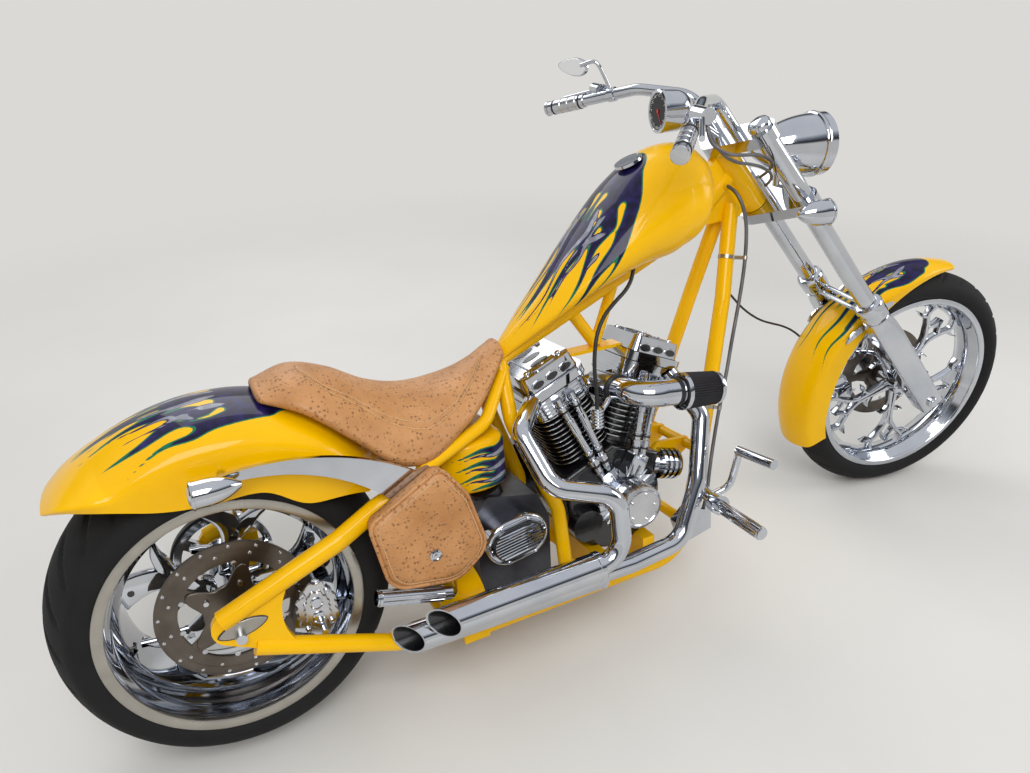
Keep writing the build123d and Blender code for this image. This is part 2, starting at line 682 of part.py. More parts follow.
INTAKE_Z = 596
elbow = [(CRANK_X, -116, INTAKE_Z), (CRANK_X + 4, -204, INTAKE_Z + 8), (992, -208, INTAKE_Z - 4)]
with BuildPart() as intake:
    add_rod((CRANK_X, -24, INTAKE_Z - 10), (CRANK_X, -118, INTAKE_Z), 32)
    add_tube(elbow, 56, 30)
    # the manifold between the heads
    add_rod((836, -24, INTAKE_Z - 6), (934, -24, INTAKE_Z - 6), 22)
    for neighbour in (cylinders, cylinder_heads):
        add(neighbour.part, mode=Mode.SUBTRACT)
keep(intake, "intake", parked)

BREATHER = (809, -150, 532)
BREATHER_RIBS = 6
with BuildPart() as breather:
    x, y, z = BREATHER
    with BuildSketch(Plane.XY.offset(z)):
        with Locations((x, y)):
            Circle(12)
    extrude(amount=46)
    for i in range(BREATHER_RIBS):
        with BuildSketch(Plane.XY.offset(z + 2 + 7.5 * i)):
            with Locations((x, y)):
                Circle(15)
        extrude(amount=4)
    add_rod((x, y, z + 24), (CRANK_X - 8, y + 30, INTAKE_Z), 6)
    add(intake.part, mode=Mode.SUBTRACT)
keep(breather, "breather", parked)

HOSE_RADIUS = 4.5
fuel_route = [
    (972, -70, 864),
    (955, -84, 834),
    (928, -99, 815),
    (892, -113, 800),
    (853, -126, 778),
    (826, -136, 744),
    (812, -144, 700),
    (808, -148, 656),
    (810, -151, 616),
    (809, -150, BREATHER[2] + 46),
]
with BuildPart() as fuel_hose:
    add_cord("fuel_hose", fuel_route, HOSE_RADIUS)
    add(fuel_tank.part, mode=Mode.SUBTRACT)
keep(fuel_hose, "fuel_hose", parked)

with BuildPart() as air_filter:
    with BuildSketch(Plane(origin=elbow[-1], z_dir=Vector(*elbow[-1]) - Vector(*elbow[-2]))):
        Circle(43)
    extrude(amount=102, taper=3)
keep(air_filter, "air_filter", parked)

rear_pipe = [
    (684, -80, 596),
    (618, -150, 566),
    (648, -222, 458),
    (778, -272, 424),
    (786, -272, 268),
    (480, -272, 266.6),
]
front_pipe = [
    (1056, -80, 590),
    (1104, -146, 488),
    (1052, -196, 340),
    (986, -217, 214),
    (840, -220, 204),
    (420, -220, 216.5),
]
MOUTH_SLANT = 0.84
# path, its radii, the point where the sleeve starts, the middle of the mouth
pipes = [
    ("rear_exhaust", rear_pipe, [36, 60, 56, 56], (726, -272, 268), (362, -272, 266)),
    ("front_exhaust", front_pipe, [40, 90, 70, 60], (760, -220, 206.3), (299, -220, 220)),
]
for label, points, radii, sleeve_start, mouth in pipes:
    with BuildPart() as exhaust:
        add_tube(points, radii, PIPE_RADIUS)
        end = (mouth[0] - 50, mouth[1], mouth[2])
        add_rod(sleeve_start, end, SLEEVE_RADIUS)
        add_rod((mouth[0] + 90, mouth[1], mouth[2]), end, SLEEVE_RADIUS - 3, mode=Mode.SUBTRACT)
        # the mouth is cut on a slant that faces outwards
        with BuildSketch(Plane(origin=mouth, z_dir=(-1, -MOUTH_SLANT, 0))) as slant:
            Circle(3 * SLEEVE_RADIUS)
        extrude(slant.sketch, amount=3 * SLEEVE_RADIUS, mode=Mode.SUBTRACT)
        add(cylinder_heads.part, mode=Mode.SUBTRACT)
    keep(exhaust, label, parked)

GEARBOX_HALF = 96
with BuildPart() as gearbox:
    with BuildSketch(side_plane(GEARBOX_HALF)):
        with BuildLine():
            Polyline(
                (508, GEARBOX_BOTTOM),
                (684, GEARBOX_BOTTOM),
                (690, 330),
                (664, 392),
                (540, 420),
                (508, 380),
                (508, GEARBOX_BOTTOM),
            )
        make_face()
    extrude(amount=2 * GEARBOX_HALF + 18)
    fillet(gearbox.edges().filter_by(Axis.Y), 14)
    # the clutch's release cover on top
    add_rod((566, -70, 386), (555, -70, 423), 36)
    add(frame_cradle.part, mode=Mode.SUBTRACT)
keep(gearbox, "gearbox", parked)

with BuildPart() as gearbox_cover:
    with BuildSketch(side_plane(-114, x=585, z=324)):
        with Locations(Rotation(0, 0, 8)):
            SlotOverall(150, 104)
    extrude(amount=52)
    fillet(gearbox_cover.faces().sort_by(Axis.Y)[0].edges(), 8)
keep(gearbox_cover, "gearbox_cover", parked)

PRIMARY_INNER = PULLEY_Y + 5
with BuildPart() as primary_cover:
    with BuildSketch(Plane(origin=(700, PRIMARY_INNER, 306), x_dir=(1, 0, 0), z_dir=(0, -1, 0))):
        with BuildLine():
            ThreePointArc((-120, 84), (-204, 0), (-120, -84))
            Line((-120, -84), (190, -104))
            ThreePointArc((190, -104), (296, -4), (190, 100))
            Line((190, 100), (-120, 84))
        make_face()
    extrude(amount=-56)
    # the housing reaches in to the crankcase round the crankshaft
    add_rod((CRANK_X, CASE_HALF + 0.2, CRANK_Z), (CRANK_X, PRIMARY_INNER, CRANK_Z), 78)
    fillet(primary_cover.faces().sort_by(Axis.Y)[-1].edges(), 16)
keep(primary_cover, "primary_cover", parked)

# Final drive belt on the left, from the gearbox's pulley to the rear wheel's
FRONT_PULLEY_RADIUS = 46
FRONT_PULLEY = (580, 330)
BELT_THICKNESS = 6
BELT_GAP = 1.0
with BuildPart() as drive_belt:
    for thickness, mode in ((BELT_THICKNESS, Mode.ADD), (0, Mode.SUBTRACT)):
        with BuildSketch(side_plane(PULLEY_Y)):
            with Locations((0, REAR_RADIUS)):
                Circle(PULLEY_RADIUS + BELT_GAP + thickness)
            with Locations(FRONT_PULLEY):
                Circle(FRONT_PULLEY_RADIUS + BELT_GAP + thickness)
            make_hull()
        extrude(amount=PULLEY_WIDTH, mode=mode)
    # the gearbox's own pulley, seated in the belt's front bend
    with BuildSketch(side_plane(PULLEY_Y)):
        with Locations(FRONT_PULLEY):
            Circle(FRONT_PULLEY_RADIUS + BELT_GAP)
    extrude(amount=PULLEY_WIDTH)
    with BuildSketch(side_plane(PULLEY_Y - PULLEY_WIDTH)):
        with Locations(FRONT_PULLEY):
            Circle(22)
    extrude(amount=PULLEY_Y - PULLEY_WIDTH - GEARBOX_HALF)
keep(drive_belt, "drive_belt", parked)

# Oil filter on the front of the crankcase, in a finned shell
FILTER_FINS = 4
filter_axis = Vector(0.96, 0, -0.28)
with BuildPart() as oil_filter:
    base = Vector(CRANK_X + 118, -66, 356)
    with BuildSketch(Plane(origin=base, z_dir=filter_axis)):
        Circle(30)
    extrude(amount=84, taper=2)
    for i in range(FILTER_FINS):
        with BuildSketch(Plane(origin=base + filter_axis * (24 + 16 * i), z_dir=filter_axis)):
            Circle(40)
        extrude(amount=8)
    add(crankcase.part, mode=Mode.SUBTRACT)
    add(frame_cradle.part, mode=Mode.SUBTRACT)
keep(oil_filter, "oil_filter", parked)

# Foot controls on the cradle, a peg and a pedal arm on each side
with BuildPart() as foot_controls:
    for side in (-1, 1):
        add_rod((1104, side * 128, 292), (1072, side * 250, 300), 16)
        add_rod((1072, side * 236, 300), (1068, side * 262, 303), 24)
        add_rod((1068, side * 260, 303), (1064, side * 400, 297), 14)
        add_tube(
            [(1078, side * 205, 298), (1130, side * 222, 318), (1144, side * 238, 416)],
            40,
            9,
        )
        add_rod((1144, side * 232, 414), (1146, side * 345, 420), 12)
    # the brake's master cylinder on the right
    with BuildSketch(side_plane(-134)):
        with BuildLine():
            Polyline((1018, 222), (1062, 258), (1116, 232), (1116, 184), (1036, 168), (1018, 222))
        make_face()
    extrude(amount=38)
    add_rod((1070, -120, 206), (1070, -136, 206), 12)
    add(frame_cradle.part, mode=Mode.SUBTRACT)
keep(foot_controls, "foot_controls", parked)

frame_hose_route = [
    (1278, -27, 1004),
    (1280, -50, 994),
    (1284, -67, 973),
    (1291, -73, 946),
    (1297, -75, 912),
    (1296, -77, 868),
    (1287, -83, 818),
    (1275, -88, 770),
    (1261, -93, 722),
    (1246, -98, 674),
    (1231, -103, 625),
    (1215, -110, 573),
    (1197, -116, 521),
    (1180, -121, 469),
    (1162, -129, 417),
    (1145, -138, 368),
    (1130, -147, 322),
    (1119, -154, 280),
    (1105, -156, 234),
]
with BuildPart() as frame_hose:
    add_cord("frame_hose", frame_hose_route, HOSE_RADIUS)
    add(foot_controls.part, mode=Mode.SUBTRACT)
    add(frame_spine.part, mode=Mode.SUBTRACT)
keep(frame_hose, "frame_hose", parked)

with BuildPart() as passenger_pegs:
    for side in (-1, 1):
        add_rod((402, side * (SWINGARM_HALF + 8 + SEAT_GAP), 288), (402, side * 214, 288), 14)
        add_rod((402, side * 212, 288), (250, side * 214, 332), 15)
keep(passenger_pegs, "passenger_pegs", parked)

# Side stand on the left: its leg reaches the floor forward and outwards
STAND_PIVOT = (742, CRADLE_HALF + FRAME_TUBE + 26, 106)
FOOT_Y = 340
FOOT_X = 830
foot_z = (FOOT_Y * lean_sin - lift) / lean_cos
STAND_RADIUS = 11
leg = Vector(FOOT_X, FOOT_Y, foot_z) - Vector(*STAND_PIVOT)
leg_direction = leg.normalized()
stowed_direction = Vector(-1, 0.1, 0.02).normalized()
stand_axis = leg_direction.cross(stowed_direction).normalized()
stand_swing = degrees(acos(leg_direction.dot(stowed_direction)))

with BuildPart() as side_stand:
    start = Vector(*STAND_PIVOT)
    with BuildSketch(Plane(origin=start - stand_axis * 9, z_dir=stand_axis)):
        Circle(16)
    extrude(amount=18)
    tip = start + leg * 0.93
    add_rod(tuple(start), tuple(tip), STAND_RADIUS)
    floor_normal = Vector(0, -lean_sin, lean_cos)
    foot_centre = Vector(FOOT_X, FOOT_Y, foot_z)
    with BuildSketch(Plane(origin=foot_centre, x_dir=(1, 0, 0), z_dir=floor_normal)):
        RectangleRounded(54, 40, 12)
    extrude(amount=8)
    add_rod(tuple(tip - leg_direction * 10), tuple(foot_centre + floor_normal * 5), STAND_RADIUS)
    with BuildSketch(Plane(origin=start - stand_axis * 20, z_dir=stand_axis)):
        Circle(6 + SHAFT_CLEARANCE)
    extrude(amount=40, mode=Mode.SUBTRACT)
keep(side_stand, "side_stand", parked)

with BuildPart() as stand_bracket:
    start = Vector(*STAND_PIVOT)
    with BuildSketch(Plane(origin=start - stand_axis * 30, z_dir=stand_axis)):
        Circle(6)
    extrude(amount=39)
    with BuildSketch(Plane(origin=start - stand_axis * 30, z_dir=stand_axis)):
        Circle(15)
    extrude(amount=13)
    add_rod(tuple(start - stand_axis * 23.5), (742, CRADLE_HALF, 96), 6)
    add(frame_cradle.part, mode=Mode.SUBTRACT)
keep(stand_bracket, "stand_bracket", parked)

# Front end, drawn in the fork frame
with BuildPart() as triple_clamps:
    with BuildSketch(Plane.XY.offset(LOW_CLAMP_HEIGHT - CLAMP_THICKNESS / 2)):
        with Locations((FORK_OFFSET, LEG_HALF_SPACING), (FORK_OFFSET, -LEG_HALF_SPACING)):
            Circle(TUBE_RADIUS + 10)
        Circle(44)
        make_hull()
        with Locations((FORK_OFFSET, LEG_HALF_SPACING), (FORK_OFFSET, -LEG_HALF_SPACING)):
            Circle(TUBE_RADIUS, mode=Mode.SUBTRACT)
    extrude(amount=CLAMP_THICKNESS)
    # the top clamp is an arm from the stem to each tube
    for side in (-1, 1):
        with BuildSketch(Plane.XY.offset(TOP_CLAMP_HEIGHT - CLAMP_THICKNESS / 2)):
            with Locations((FORK_OFFSET, side * LEG_HALF_SPACING)):
                Circle(TUBE_RADIUS + 8)
            Circle(32)
            make_hull()
            with Locations((FORK_OFFSET, side * LEG_HALF_SPACING)):
                Circle(TUBE_RADIUS, mode=Mode.SUBTRACT)
        extrude(amount=CLAMP_THICKNESS)
    with BuildSketch(Plane.XY.offset(LOW_CLAMP_HEIGHT)):
        Circle(STEM_RADIUS)
    extrude(amount=TOP_CLAMP_HEIGHT - LOW_CLAMP_HEIGHT)
    # the post that gathers the cables beside the neck
    add_rod((26, -56, LOW_CLAMP_HEIGHT), (22, -60, LOW_CLAMP_HEIGHT + 104), 6)
keep(triple_clamps, "triple_clamps", steered)

with BuildPart() as fork_tubes:
    for side in (-1, 1):
        leg_y = side * LEG_HALF_SPACING
        add_rod((FORK_OFFSET, leg_y, SLIDER_TOP - 20), (FORK_OFFSET, leg_y, TOP_CLAMP_HEIGHT + 22), TUBE_RADIUS)
keep(fork_tubes, "fork_tubes", steered)

with BuildPart() as fork_sliders:
    for side in (-1, 1):
        leg_y = side * LEG_HALF_SPACING
        with BuildSketch(Plane(origin=(FORK_OFFSET, leg_y, 0), x_dir=(1, 0, 0), z_dir=(0, -1, 0))):
            with BuildLine():
                Polyline(
                    (0, SLIDER_BOTTOM),
                    (SLIDER_RADIUS - 4, SLIDER_BOTTOM),
                    (SLIDER_RADIUS, SLIDER_BOTTOM + 6),
                    (SLIDER_RADIUS - 2, SLIDER_TOP - 40),
                    (SLIDER_RADIUS + 4, SLIDER_TOP - 26),
                    (SLIDER_RADIUS + 4, SLIDER_TOP - 6),
                    (SLIDER_RADIUS - 2, SLIDER_TOP),
                    (TUBE_RADIUS, SLIDER_TOP),
                    (TUBE_RADIUS, SLIDER_TOP - 20),
                    (0, SLIDER_TOP - 20),
                    (0, SLIDER_BOTTOM),
                )
            make_face()
        revolve(axis=Axis((FORK_OFFSET, leg_y, 0), (0, 0, 1)))
    with BuildSketch(Plane(origin=(FORK_OFFSET, 300, 0), x_dir=(1, 0, 0), z_dir=(0, -1, 0))):
        Circle(AXLE_RADIUS)
    extrude(amount=600, mode=Mode.SUBTRACT)
keep(fork_sliders, "fork_sliders", steered)

front_axis = Axis((FORK_OFFSET, 0, 0), (0, 1, 0))
front_section = Plane(origin=(FORK_OFFSET, 0, 0), x_dir=(0, 1, 0), z_dir=(1, 0, 0))


def front_side(y):
    """A plane on the front axle seen from the right, at y."""
    return Plane(origin=(FORK_OFFSET, y, 0), x_dir=(1, 0, 0), z_dir=(0, -1, 0))


with BuildPart() as front_axle:
    reach = LEG_HALF_SPACING + SLIDER_RADIUS + 8
    add_rod((FORK_OFFSET, -reach, 0), (FORK_OFFSET, reach, 0), AXLE_RADIUS)
    for side in (-1, 1):
        add_rod((FORK_OFFSET, side * 52, 0), (FORK_OFFSET, side * (LEG_HALF_SPACING - SLIDER_RADIUS), 0), 18)
keep(front_axle, "front_axle", steered)

with BuildPart() as front_wheel:
    with BuildSketch(front_section):
        with BuildLine():
            half = [
                (-FRONT_LIP_HALF, FRONT_LIP_RADIUS - 8),
                (-FRONT_LIP_HALF, FRONT_LIP_RADIUS),
                (-FRONT_LIP_HALF + 6, FRONT_LIP_RADIUS),
                (-FRONT_LIP_HALF + 12, FRONT_BEAD_RADIUS),
                (-18, FRONT_BEAD_RADIUS - 12),
            ]
            inner = [
                (-18, FRONT_BEAD_RADIUS - 22),
                (-FRONT_LIP_HALF + 10, FRONT_BEAD_RADIUS - 12),
            ]
            Polyline(
                *half,
                *[(-x, r) for x, r in reversed(half)],
                *[(-x, r) for x, r in reversed(inner)],
                *inner,
                close=True,
            )
        make_face()
    revolve(axis=front_axis)
    with BuildSketch(front_section):
        with Locations((0, 17)):
            Rectangle(84, 34)
    revolve(axis=front_axis)
    with BuildSketch(front_side(11)):
        with PolarLocations(0, FRONT_SPOKES):
            with BuildLine():
                ThreePointArc((-14, 28), (2, 120), (-62, 246))
                Line((-62, 246), (-26, 250))
                ThreePointArc((-26, 250), (6, 190), (34, 249))
                Line((34, 249), (66, 245))
                ThreePointArc((66, 245), (24, 130), (16, 28))
                Line((16, 28), (-14, 28))
            make_face()
    extrude(amount=22)
    with BuildSketch(front_side(80)):
        Circle(AXLE_RADIUS + SHAFT_CLEARANCE)
    extrude(amount=160, mode=Mode.SUBTRACT)
keep(front_wheel, "front_wheel", steered)

with BuildPart() as front_tyre:
    with BuildSketch(front_section):
        with BuildLine():
            shoulder = 50
            shoulder_r = FRONT_RADIUS - FRONT_CROWN_RADIUS + sqrt(FRONT_CROWN_RADIUS**2 - shoulder**2)
            ThreePointArc((-shoulder, shoulder_r), (0, FRONT_RADIUS), (shoulder, shoulder_r))
            ThreePointArc((shoulder, shoulder_r), (FRONT_TYRE_HALF, 302), (FRONT_LIP_HALF, FRONT_LIP_RADIUS + 1))
            Polyline(
                (FRONT_LIP_HALF, FRONT_LIP_RADIUS + 1),
                (FRONT_LIP_HALF - 7, FRONT_LIP_RADIUS + 1),
                (FRONT_LIP_HALF - 13, FRONT_BEAD_RADIUS + 1),
                (-FRONT_LIP_HALF + 13, FRONT_BEAD_RADIUS + 1),
                (-FRONT_LIP_HALF + 7, FRONT_LIP_RADIUS + 1),
                (-FRONT_LIP_HALF, FRONT_LIP_RADIUS + 1),
            )
            ThreePointArc((-FRONT_LIP_HALF, FRONT_LIP_RADIUS + 1), (-FRONT_TYRE_HALF, 302), (-shoulder, shoulder_r))
        make_face()
    revolve(axis=front_axis)
keep(front_tyre, "front_tyre", steered)

FRONT_ROTOR_Y = 60
with BuildPart() as front_rotor:
    with BuildSketch(front_side(FRONT_ROTOR_Y)):
        Circle(146)
        Circle(108, mode=Mode.SUBTRACT)
        with PolarLocations(80, 5):
            Rectangle(64, 22)
        Circle(50)
        Circle(AXLE_RADIUS + 8, mode=Mode.SUBTRACT)
    extrude(amount=5)
    with BuildSketch(front_side(FRONT_ROTOR_Y - 5)):
        Circle(34)
        Circle(AXLE_RADIUS + 8, mode=Mode.SUBTRACT)
    extrude(amount=FRONT_ROTOR_Y - 5 - 42)
keep(front_rotor, "front_rotor", steered)

with BuildPart() as front_caliper:
    with BuildSketch(front_side(84)):
        with BuildLine():
            Polyline((-150, 10), (-112, 40), (-104, 110), (-150, 130), (-176, 70), (-150, 10))
        make_face()
    extrude(amount=46)
    with BuildSketch(front_side(FRONT_ROTOR_Y + 6)):
        Circle(152)
    extrude(amount=17, mode=Mode.SUBTRACT)
    add_rod((FORK_OFFSET - 125, 78, 70), (FORK_OFFSET - 10, 96, 70), 10)
    add(fork_sliders.part, mode=Mode.SUBTRACT)
keep(front_caliper, "front_caliper", steered)

# Front fender: sections round the axle, in the fork frame
# angle round the axle from the fork's x, crown radius, half width, skirt radius
front_fender_sections = [
    (38, 384, 40, 368),
    (56, 386, 66, 350),
    (80, 382, 76, 318),
    (105, 380, 80, 300),
    (132, 380, 80, 292),
    (163, 386, 74, 300),
]
with BuildPart() as front_fender:
    loft([fender_section(FORK_OFFSET, 0, *row, FENDER_SHEET) for row in front_fender_sections])
keep(front_fender, "front_fender", steered)

# Brace over the front fender between the sliders, and the plates that hold the fender
BRACE_HEIGHT = 395
BRACKET_HEIGHT = 342
with BuildPart() as fork_brace:
    with BuildSketch(Plane.XY.offset(BRACE_HEIGHT - 7)):
        with Locations((FORK_OFFSET - 6, 0)):
            Rectangle(34, 2 * LEG_HALF_SPACING)
    extrude(amount=14)
    for side in (-1, 1):
        with BuildSketch(front_side(side * 86 + 3)):
            with BuildLine():
                Polyline(
                    (-92, BRACKET_HEIGHT - 6),
                    (-20, BRACKET_HEIGHT - 16),
                    (0, BRACKET_HEIGHT - 44),
                    (18, BRACKET_HEIGHT - 16),
                    (78, BRACKET_HEIGHT - 8),
                    (20, BRACKET_HEIGHT + 12),
                    (0, BRACKET_HEIGHT + 24),
                    (-20, BRACKET_HEIGHT + 8),
                    (-92, BRACKET_HEIGHT - 6),
                )
            make_face()
        extrude(amount=6)
        add_rod((FORK_OFFSET, side * 74, BRACKET_HEIGHT), (FORK_OFFSET, side * LEG_HALF_SPACING, BRACKET_HEIGHT), 11)
    add(fork_sliders.part, mode=Mode.SUBTRACT)
    add(front_fender.part, mode=Mode.SUBTRACT)
keep(fork_brace, "fork_brace", steered)

with BuildPart() as headlamp:
    lamp_plane = Plane(origin=(214, 0, 828), x_dir=(-rake_cos, 0, rake_sin), z_dir=(0, -1, 0))
    with BuildSketch(lamp_plane):
        with BuildLine():
            Polyline((0, 0), (0, 70), (4, 77), (22, 77), (26, 75))
            ThreePointArc((26, 75), (120, 58), (196, 14))
            Polyline((196, 14), (200, 0), (0, 0))
        make_face()
    revolve(axis=Axis((214, 0, 828), (-rake_cos, 0, rake_sin)))
    add_rod((110, 0, 880), (66, 0, LOW_CLAMP_HEIGHT), 12)
    add(triple_clamps.part, mode=Mode.SUBTRACT)
keep(headlamp, "headlamp", steered)

with BuildPart() as front_signals:
    for side in (-1, 1):
        base = (64, side * 192, 799)
        forward = (rake_cos, 0, -rake_sin)
        with BuildSketch(Plane(origin=base, x_dir=forward, z_dir=(0, -1, 0))):
            with BuildLine():
                Polyline((0, 0), (0, 30), (-14, 30))
                ThreePointArc((-14, 30), (-56, 22), (-80, 6))
                Polyline((-80, 6), (-82, 0), (0, 0))
            make_face()
        revolve(axis=Axis(base, forward))
        add_rod((46, side * 150, 815), (46, side * 168, 815), 7)
    add(triple_clamps.part, mode=Mode.SUBTRACT)
keep(front_signals, "front_signals", steered)

# Heights of the handlebar's bends above the top clamp
BAR_BASE = TOP_CLAMP_HEIGHT + CLAMP_THICKNESS / 2
RISER_HEIGHT = BAR_BASE + 95
BEND_HEIGHT = BAR_BASE + 163
GRIP_HEIGHT = BAR_BASE + 217
GAUGE_HEIGHT = BAR_BASE + 149
MIRROR_HEIGHT = GRIP_HEIGHT + 68
bar_side = [
    (36, -55, BAR_BASE),
    (36, -55, RISER_HEIGHT),
    (-30, -160, BEND_HEIGHT),
    (-186, -372, GRIP_HEIGHT),
]
with BuildPart() as handlebar:
    for points in (bar_side, mirrored(bar_side)):
        add_tube(points, [60, 110], 14)
keep(handlebar, "handlebar", steered)

with BuildPart() as grips:
    for side in (-1, 1):
        end = Vector(-186, side * 372, GRIP_HEIGHT)
        toward = (Vector(-30, side * 160, BEND_HEIGHT) - end).normalized()
        add_rod(tuple(end + toward * 112), tuple(end - toward * 6), 17)
        with BuildSketch(Plane(origin=end + toward * 150, z_dir=-toward)):
            Circle(14)
        extrude(amount=150, mode=Mode.SUBTRACT)
keep(grips, "grips", steered)

with BuildPart() as hand_levers:
    for side in (-1, 1):
        end = Vector(-186, side * 372, GRIP_HEIGHT)
        toward = (Vector(-30, side * 160, BEND_HEIGHT) - end).normalized()
        inner = end + toward * 130
        perch = inner + Vector(30, 0, 4)
        add_rod(tuple(perch - Vector(0, side * 24, 0)), tuple(perch + Vector(0, side * 24, 0)), 16)
        add_rod(tuple(perch), tuple(end + Vector(46, 0, -8)), 6)
    add(handlebar.part, mode=Mode.SUBTRACT)
keep(hand_levers, "hand_levers", steered)

bar_cable_routes = [
    [
        (-84, -280, 1230),
        (-106, -292, 1194),
        (-88, -284, 1146),
        (-54, -254, 1104),
        (-18, -217, 1063),
        (14, -180, 1018),
        (34, -150, 974),
        (31, -118, 946),
        (26, -88, 929),
        (22, -60, 914),
    ],
    [
        (-74, -258, 1228),
        (-92, -268, 1182),
        (-86, -263, 1132),
        (-62, -234, 1086),
        (-29, -199, 1042),
        (2, -164, 996),
        (23, -136, 950),
        (27, -108, 918),
        (26, -82, 899),
        (23, -60, 886),
    ],
]
with BuildPart() as bar_cables:
    for route in bar_cable_routes:
        add_cord("bar_cables", route, 3.5)
    add(hand_levers.part, mode=Mode.SUBTRACT)
    add(triple_clamps.part, mode=Mode.SUBTRACT)
keep(bar_cables, "bar_cables", steered)

brake_hose_route = [
    (-192, -40, 694),
    (-186, -24, 636),
    (-173, -4, 576),
    (-154, 20, 516),
    (-128, 48, 458),
    (-101, 74, 402),
    (-80, 92, 346),
    (-68, 99, 286),
    (-62, 98, 226),
    (-62, 88, 172),
    (-66, 70, 116),
]
with BuildPart() as brake_hose:
    add_cord("brake_hose", brake_hose_route, 3)
    add(front_caliper.part, mode=Mode.SUBTRACT)
keep(brake_hose, "brake_hose", steered)

with BuildPart() as gauge:
    gauge_face = (-66, 0, GAUGE_HEIGHT)
    with BuildSketch(Plane(origin=gauge_face, x_dir=(rake_cos, 0, -rake_sin), z_dir=(0, -1, 0))):
        with BuildLine():
            Polyline((0, 0), (0, 42), (4, 48), (40, 46))
            ThreePointArc((40, 46), (68, 34), (82, 12))
            Polyline((82, 12), (86, 0), (0, 0))
        make_face()
    revolve(axis=Axis(gauge_face, (rake_cos, 0, -rake_sin)))
    add_rod((20, 0, TOP_CLAMP_HEIGHT), (-20, 0, GAUGE_HEIGHT - 38), 9)
    add(triple_clamps.part, mode=Mode.SUBTRACT)
keep(gauge, "gauge", steered)

with BuildPart() as mirror_left:
    head = (-130, 352, MIRROR_HEIGHT)
    add_tube([(-96, 250, GRIP_HEIGHT - 22), (-70, 290, MIRROR_HEIGHT), head], 24, 5)
    with BuildSketch(Plane(origin=head, x_dir=(0, 1, 0), z_dir=(-0.8, 0, 0.6))):
        Ellipse(50, 28)
    extrude(amount=12)
    add(handlebar.part, mode=Mode.SUBTRACT)
    add(hand_levers.part, mode=Mode.SUBTRACT)
keep(mirror_left, "mirror", steered)

# Move everything so that the origin is at the middle of the footprint, on the floor
boxes = [piece.moved(place).bounding_box() for _, piece, place in kept]
middle_x = round((min(b.min.X for b in boxes) + max(b.max.X for b in boxes)) / 2, 1)
middle_y = round((min(b.min.Y for b in boxes) + max(b.max.Y for b in boxes)) / 2, 1)
to_middle = Location((-middle_x, -middle_y, 0))
for label, piece, place in kept:
    placed = piece.moved(to_middle * place)
    placed.label = label
    export_step(placed, f"parts/{label}.step")


def report(name, frame, point, direction):
    """Print a point and a direction of a drawing frame in the parked frame."""
    at = (to_middle * frame * Location(tuple(point))).position
    tip = (to_middle * frame * Location(tuple(Vector(*point) + Vector(*direction)))).position
    way = tip - at
    print(f"{name} {at.X:.3f} {at.Y:.3f} {at.Z:.3f} {way.X:.6f} {way.Y:.6f} {way.Z:.6f}")


report("rear_wheel", parked, (0, 0, REAR_RADIUS), (0, 1, 0))
report("front_wheel", steered, (FORK_OFFSET, 0, 0), (0, 1, 0))
report("steering", steered, (0, 0, LOW_CLAMP_HEIGHT), (0, 0, 1))
report("side_stand", parked, STAND_PIVOT, tuple(stand_axis))
print(f"stand_swing {stand_swing:.3f}")
report("foot", parked, tuple(foot_centre), tuple(floor_normal * -1))
for side, name in ((-1, "axle_right"), (1, "axle_left")):
    report(name, parked, (0, side * (SWINGARM_HALF + 16), REAR_RADIUS), (0, side, 0))
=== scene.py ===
"""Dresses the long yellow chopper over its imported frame: paint, chrome, leather and rubber."""

import json
import logging
from dataclasses import dataclass
from enum import Enum
from math import asin, atan2, copysign, cos, dist, exp, hypot, pi, radians, sin, sqrt, tan
from typing import Any, Callable, Optional, Sequence

import bmesh
import bpy
import numpy as np
from mathutils import Matrix, Vector

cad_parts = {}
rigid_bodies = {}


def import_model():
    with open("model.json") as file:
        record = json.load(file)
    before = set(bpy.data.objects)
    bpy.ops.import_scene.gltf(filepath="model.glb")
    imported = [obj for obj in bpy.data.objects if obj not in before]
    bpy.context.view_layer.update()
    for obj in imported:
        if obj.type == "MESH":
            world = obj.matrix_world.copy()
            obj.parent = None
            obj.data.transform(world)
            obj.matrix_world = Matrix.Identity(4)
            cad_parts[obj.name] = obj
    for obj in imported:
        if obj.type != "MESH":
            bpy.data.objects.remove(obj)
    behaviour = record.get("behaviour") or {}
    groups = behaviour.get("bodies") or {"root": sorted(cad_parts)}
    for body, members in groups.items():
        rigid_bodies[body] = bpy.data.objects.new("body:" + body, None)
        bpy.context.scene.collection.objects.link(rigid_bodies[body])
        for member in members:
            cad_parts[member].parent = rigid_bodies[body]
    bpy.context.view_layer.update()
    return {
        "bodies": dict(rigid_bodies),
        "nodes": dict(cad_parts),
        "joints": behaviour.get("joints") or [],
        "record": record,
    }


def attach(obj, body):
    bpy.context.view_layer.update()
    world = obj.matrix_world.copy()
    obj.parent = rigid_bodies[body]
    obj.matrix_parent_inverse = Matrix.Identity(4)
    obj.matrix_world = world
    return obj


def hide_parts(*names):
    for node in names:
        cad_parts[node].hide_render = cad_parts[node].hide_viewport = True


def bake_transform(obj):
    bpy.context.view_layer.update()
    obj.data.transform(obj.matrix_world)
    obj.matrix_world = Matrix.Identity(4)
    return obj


LOG = logging.getLogger("chopper")
MM = 0.001
FOCAL_PIXELS = 725.2
PHOTO_WIDTH = 1030
# radii of the frame's tubes and of the hose along it
TUBE_RADIUS = 19
HOSE_RADIUS = 4.5
# the fork's rake, its legs' places in its own frame, and the height of the handlebar's base
RAKE = 40.0
LEG_OFFSET = 60.0
LEG_SPACING = 124.0
BAR_BASE = 1045.0
Tree = bpy.types.NodeTree
Row = Sequence[float]
Rows = Sequence[Row]
Spot = tuple[float, float]
Place = tuple[float, float, float]
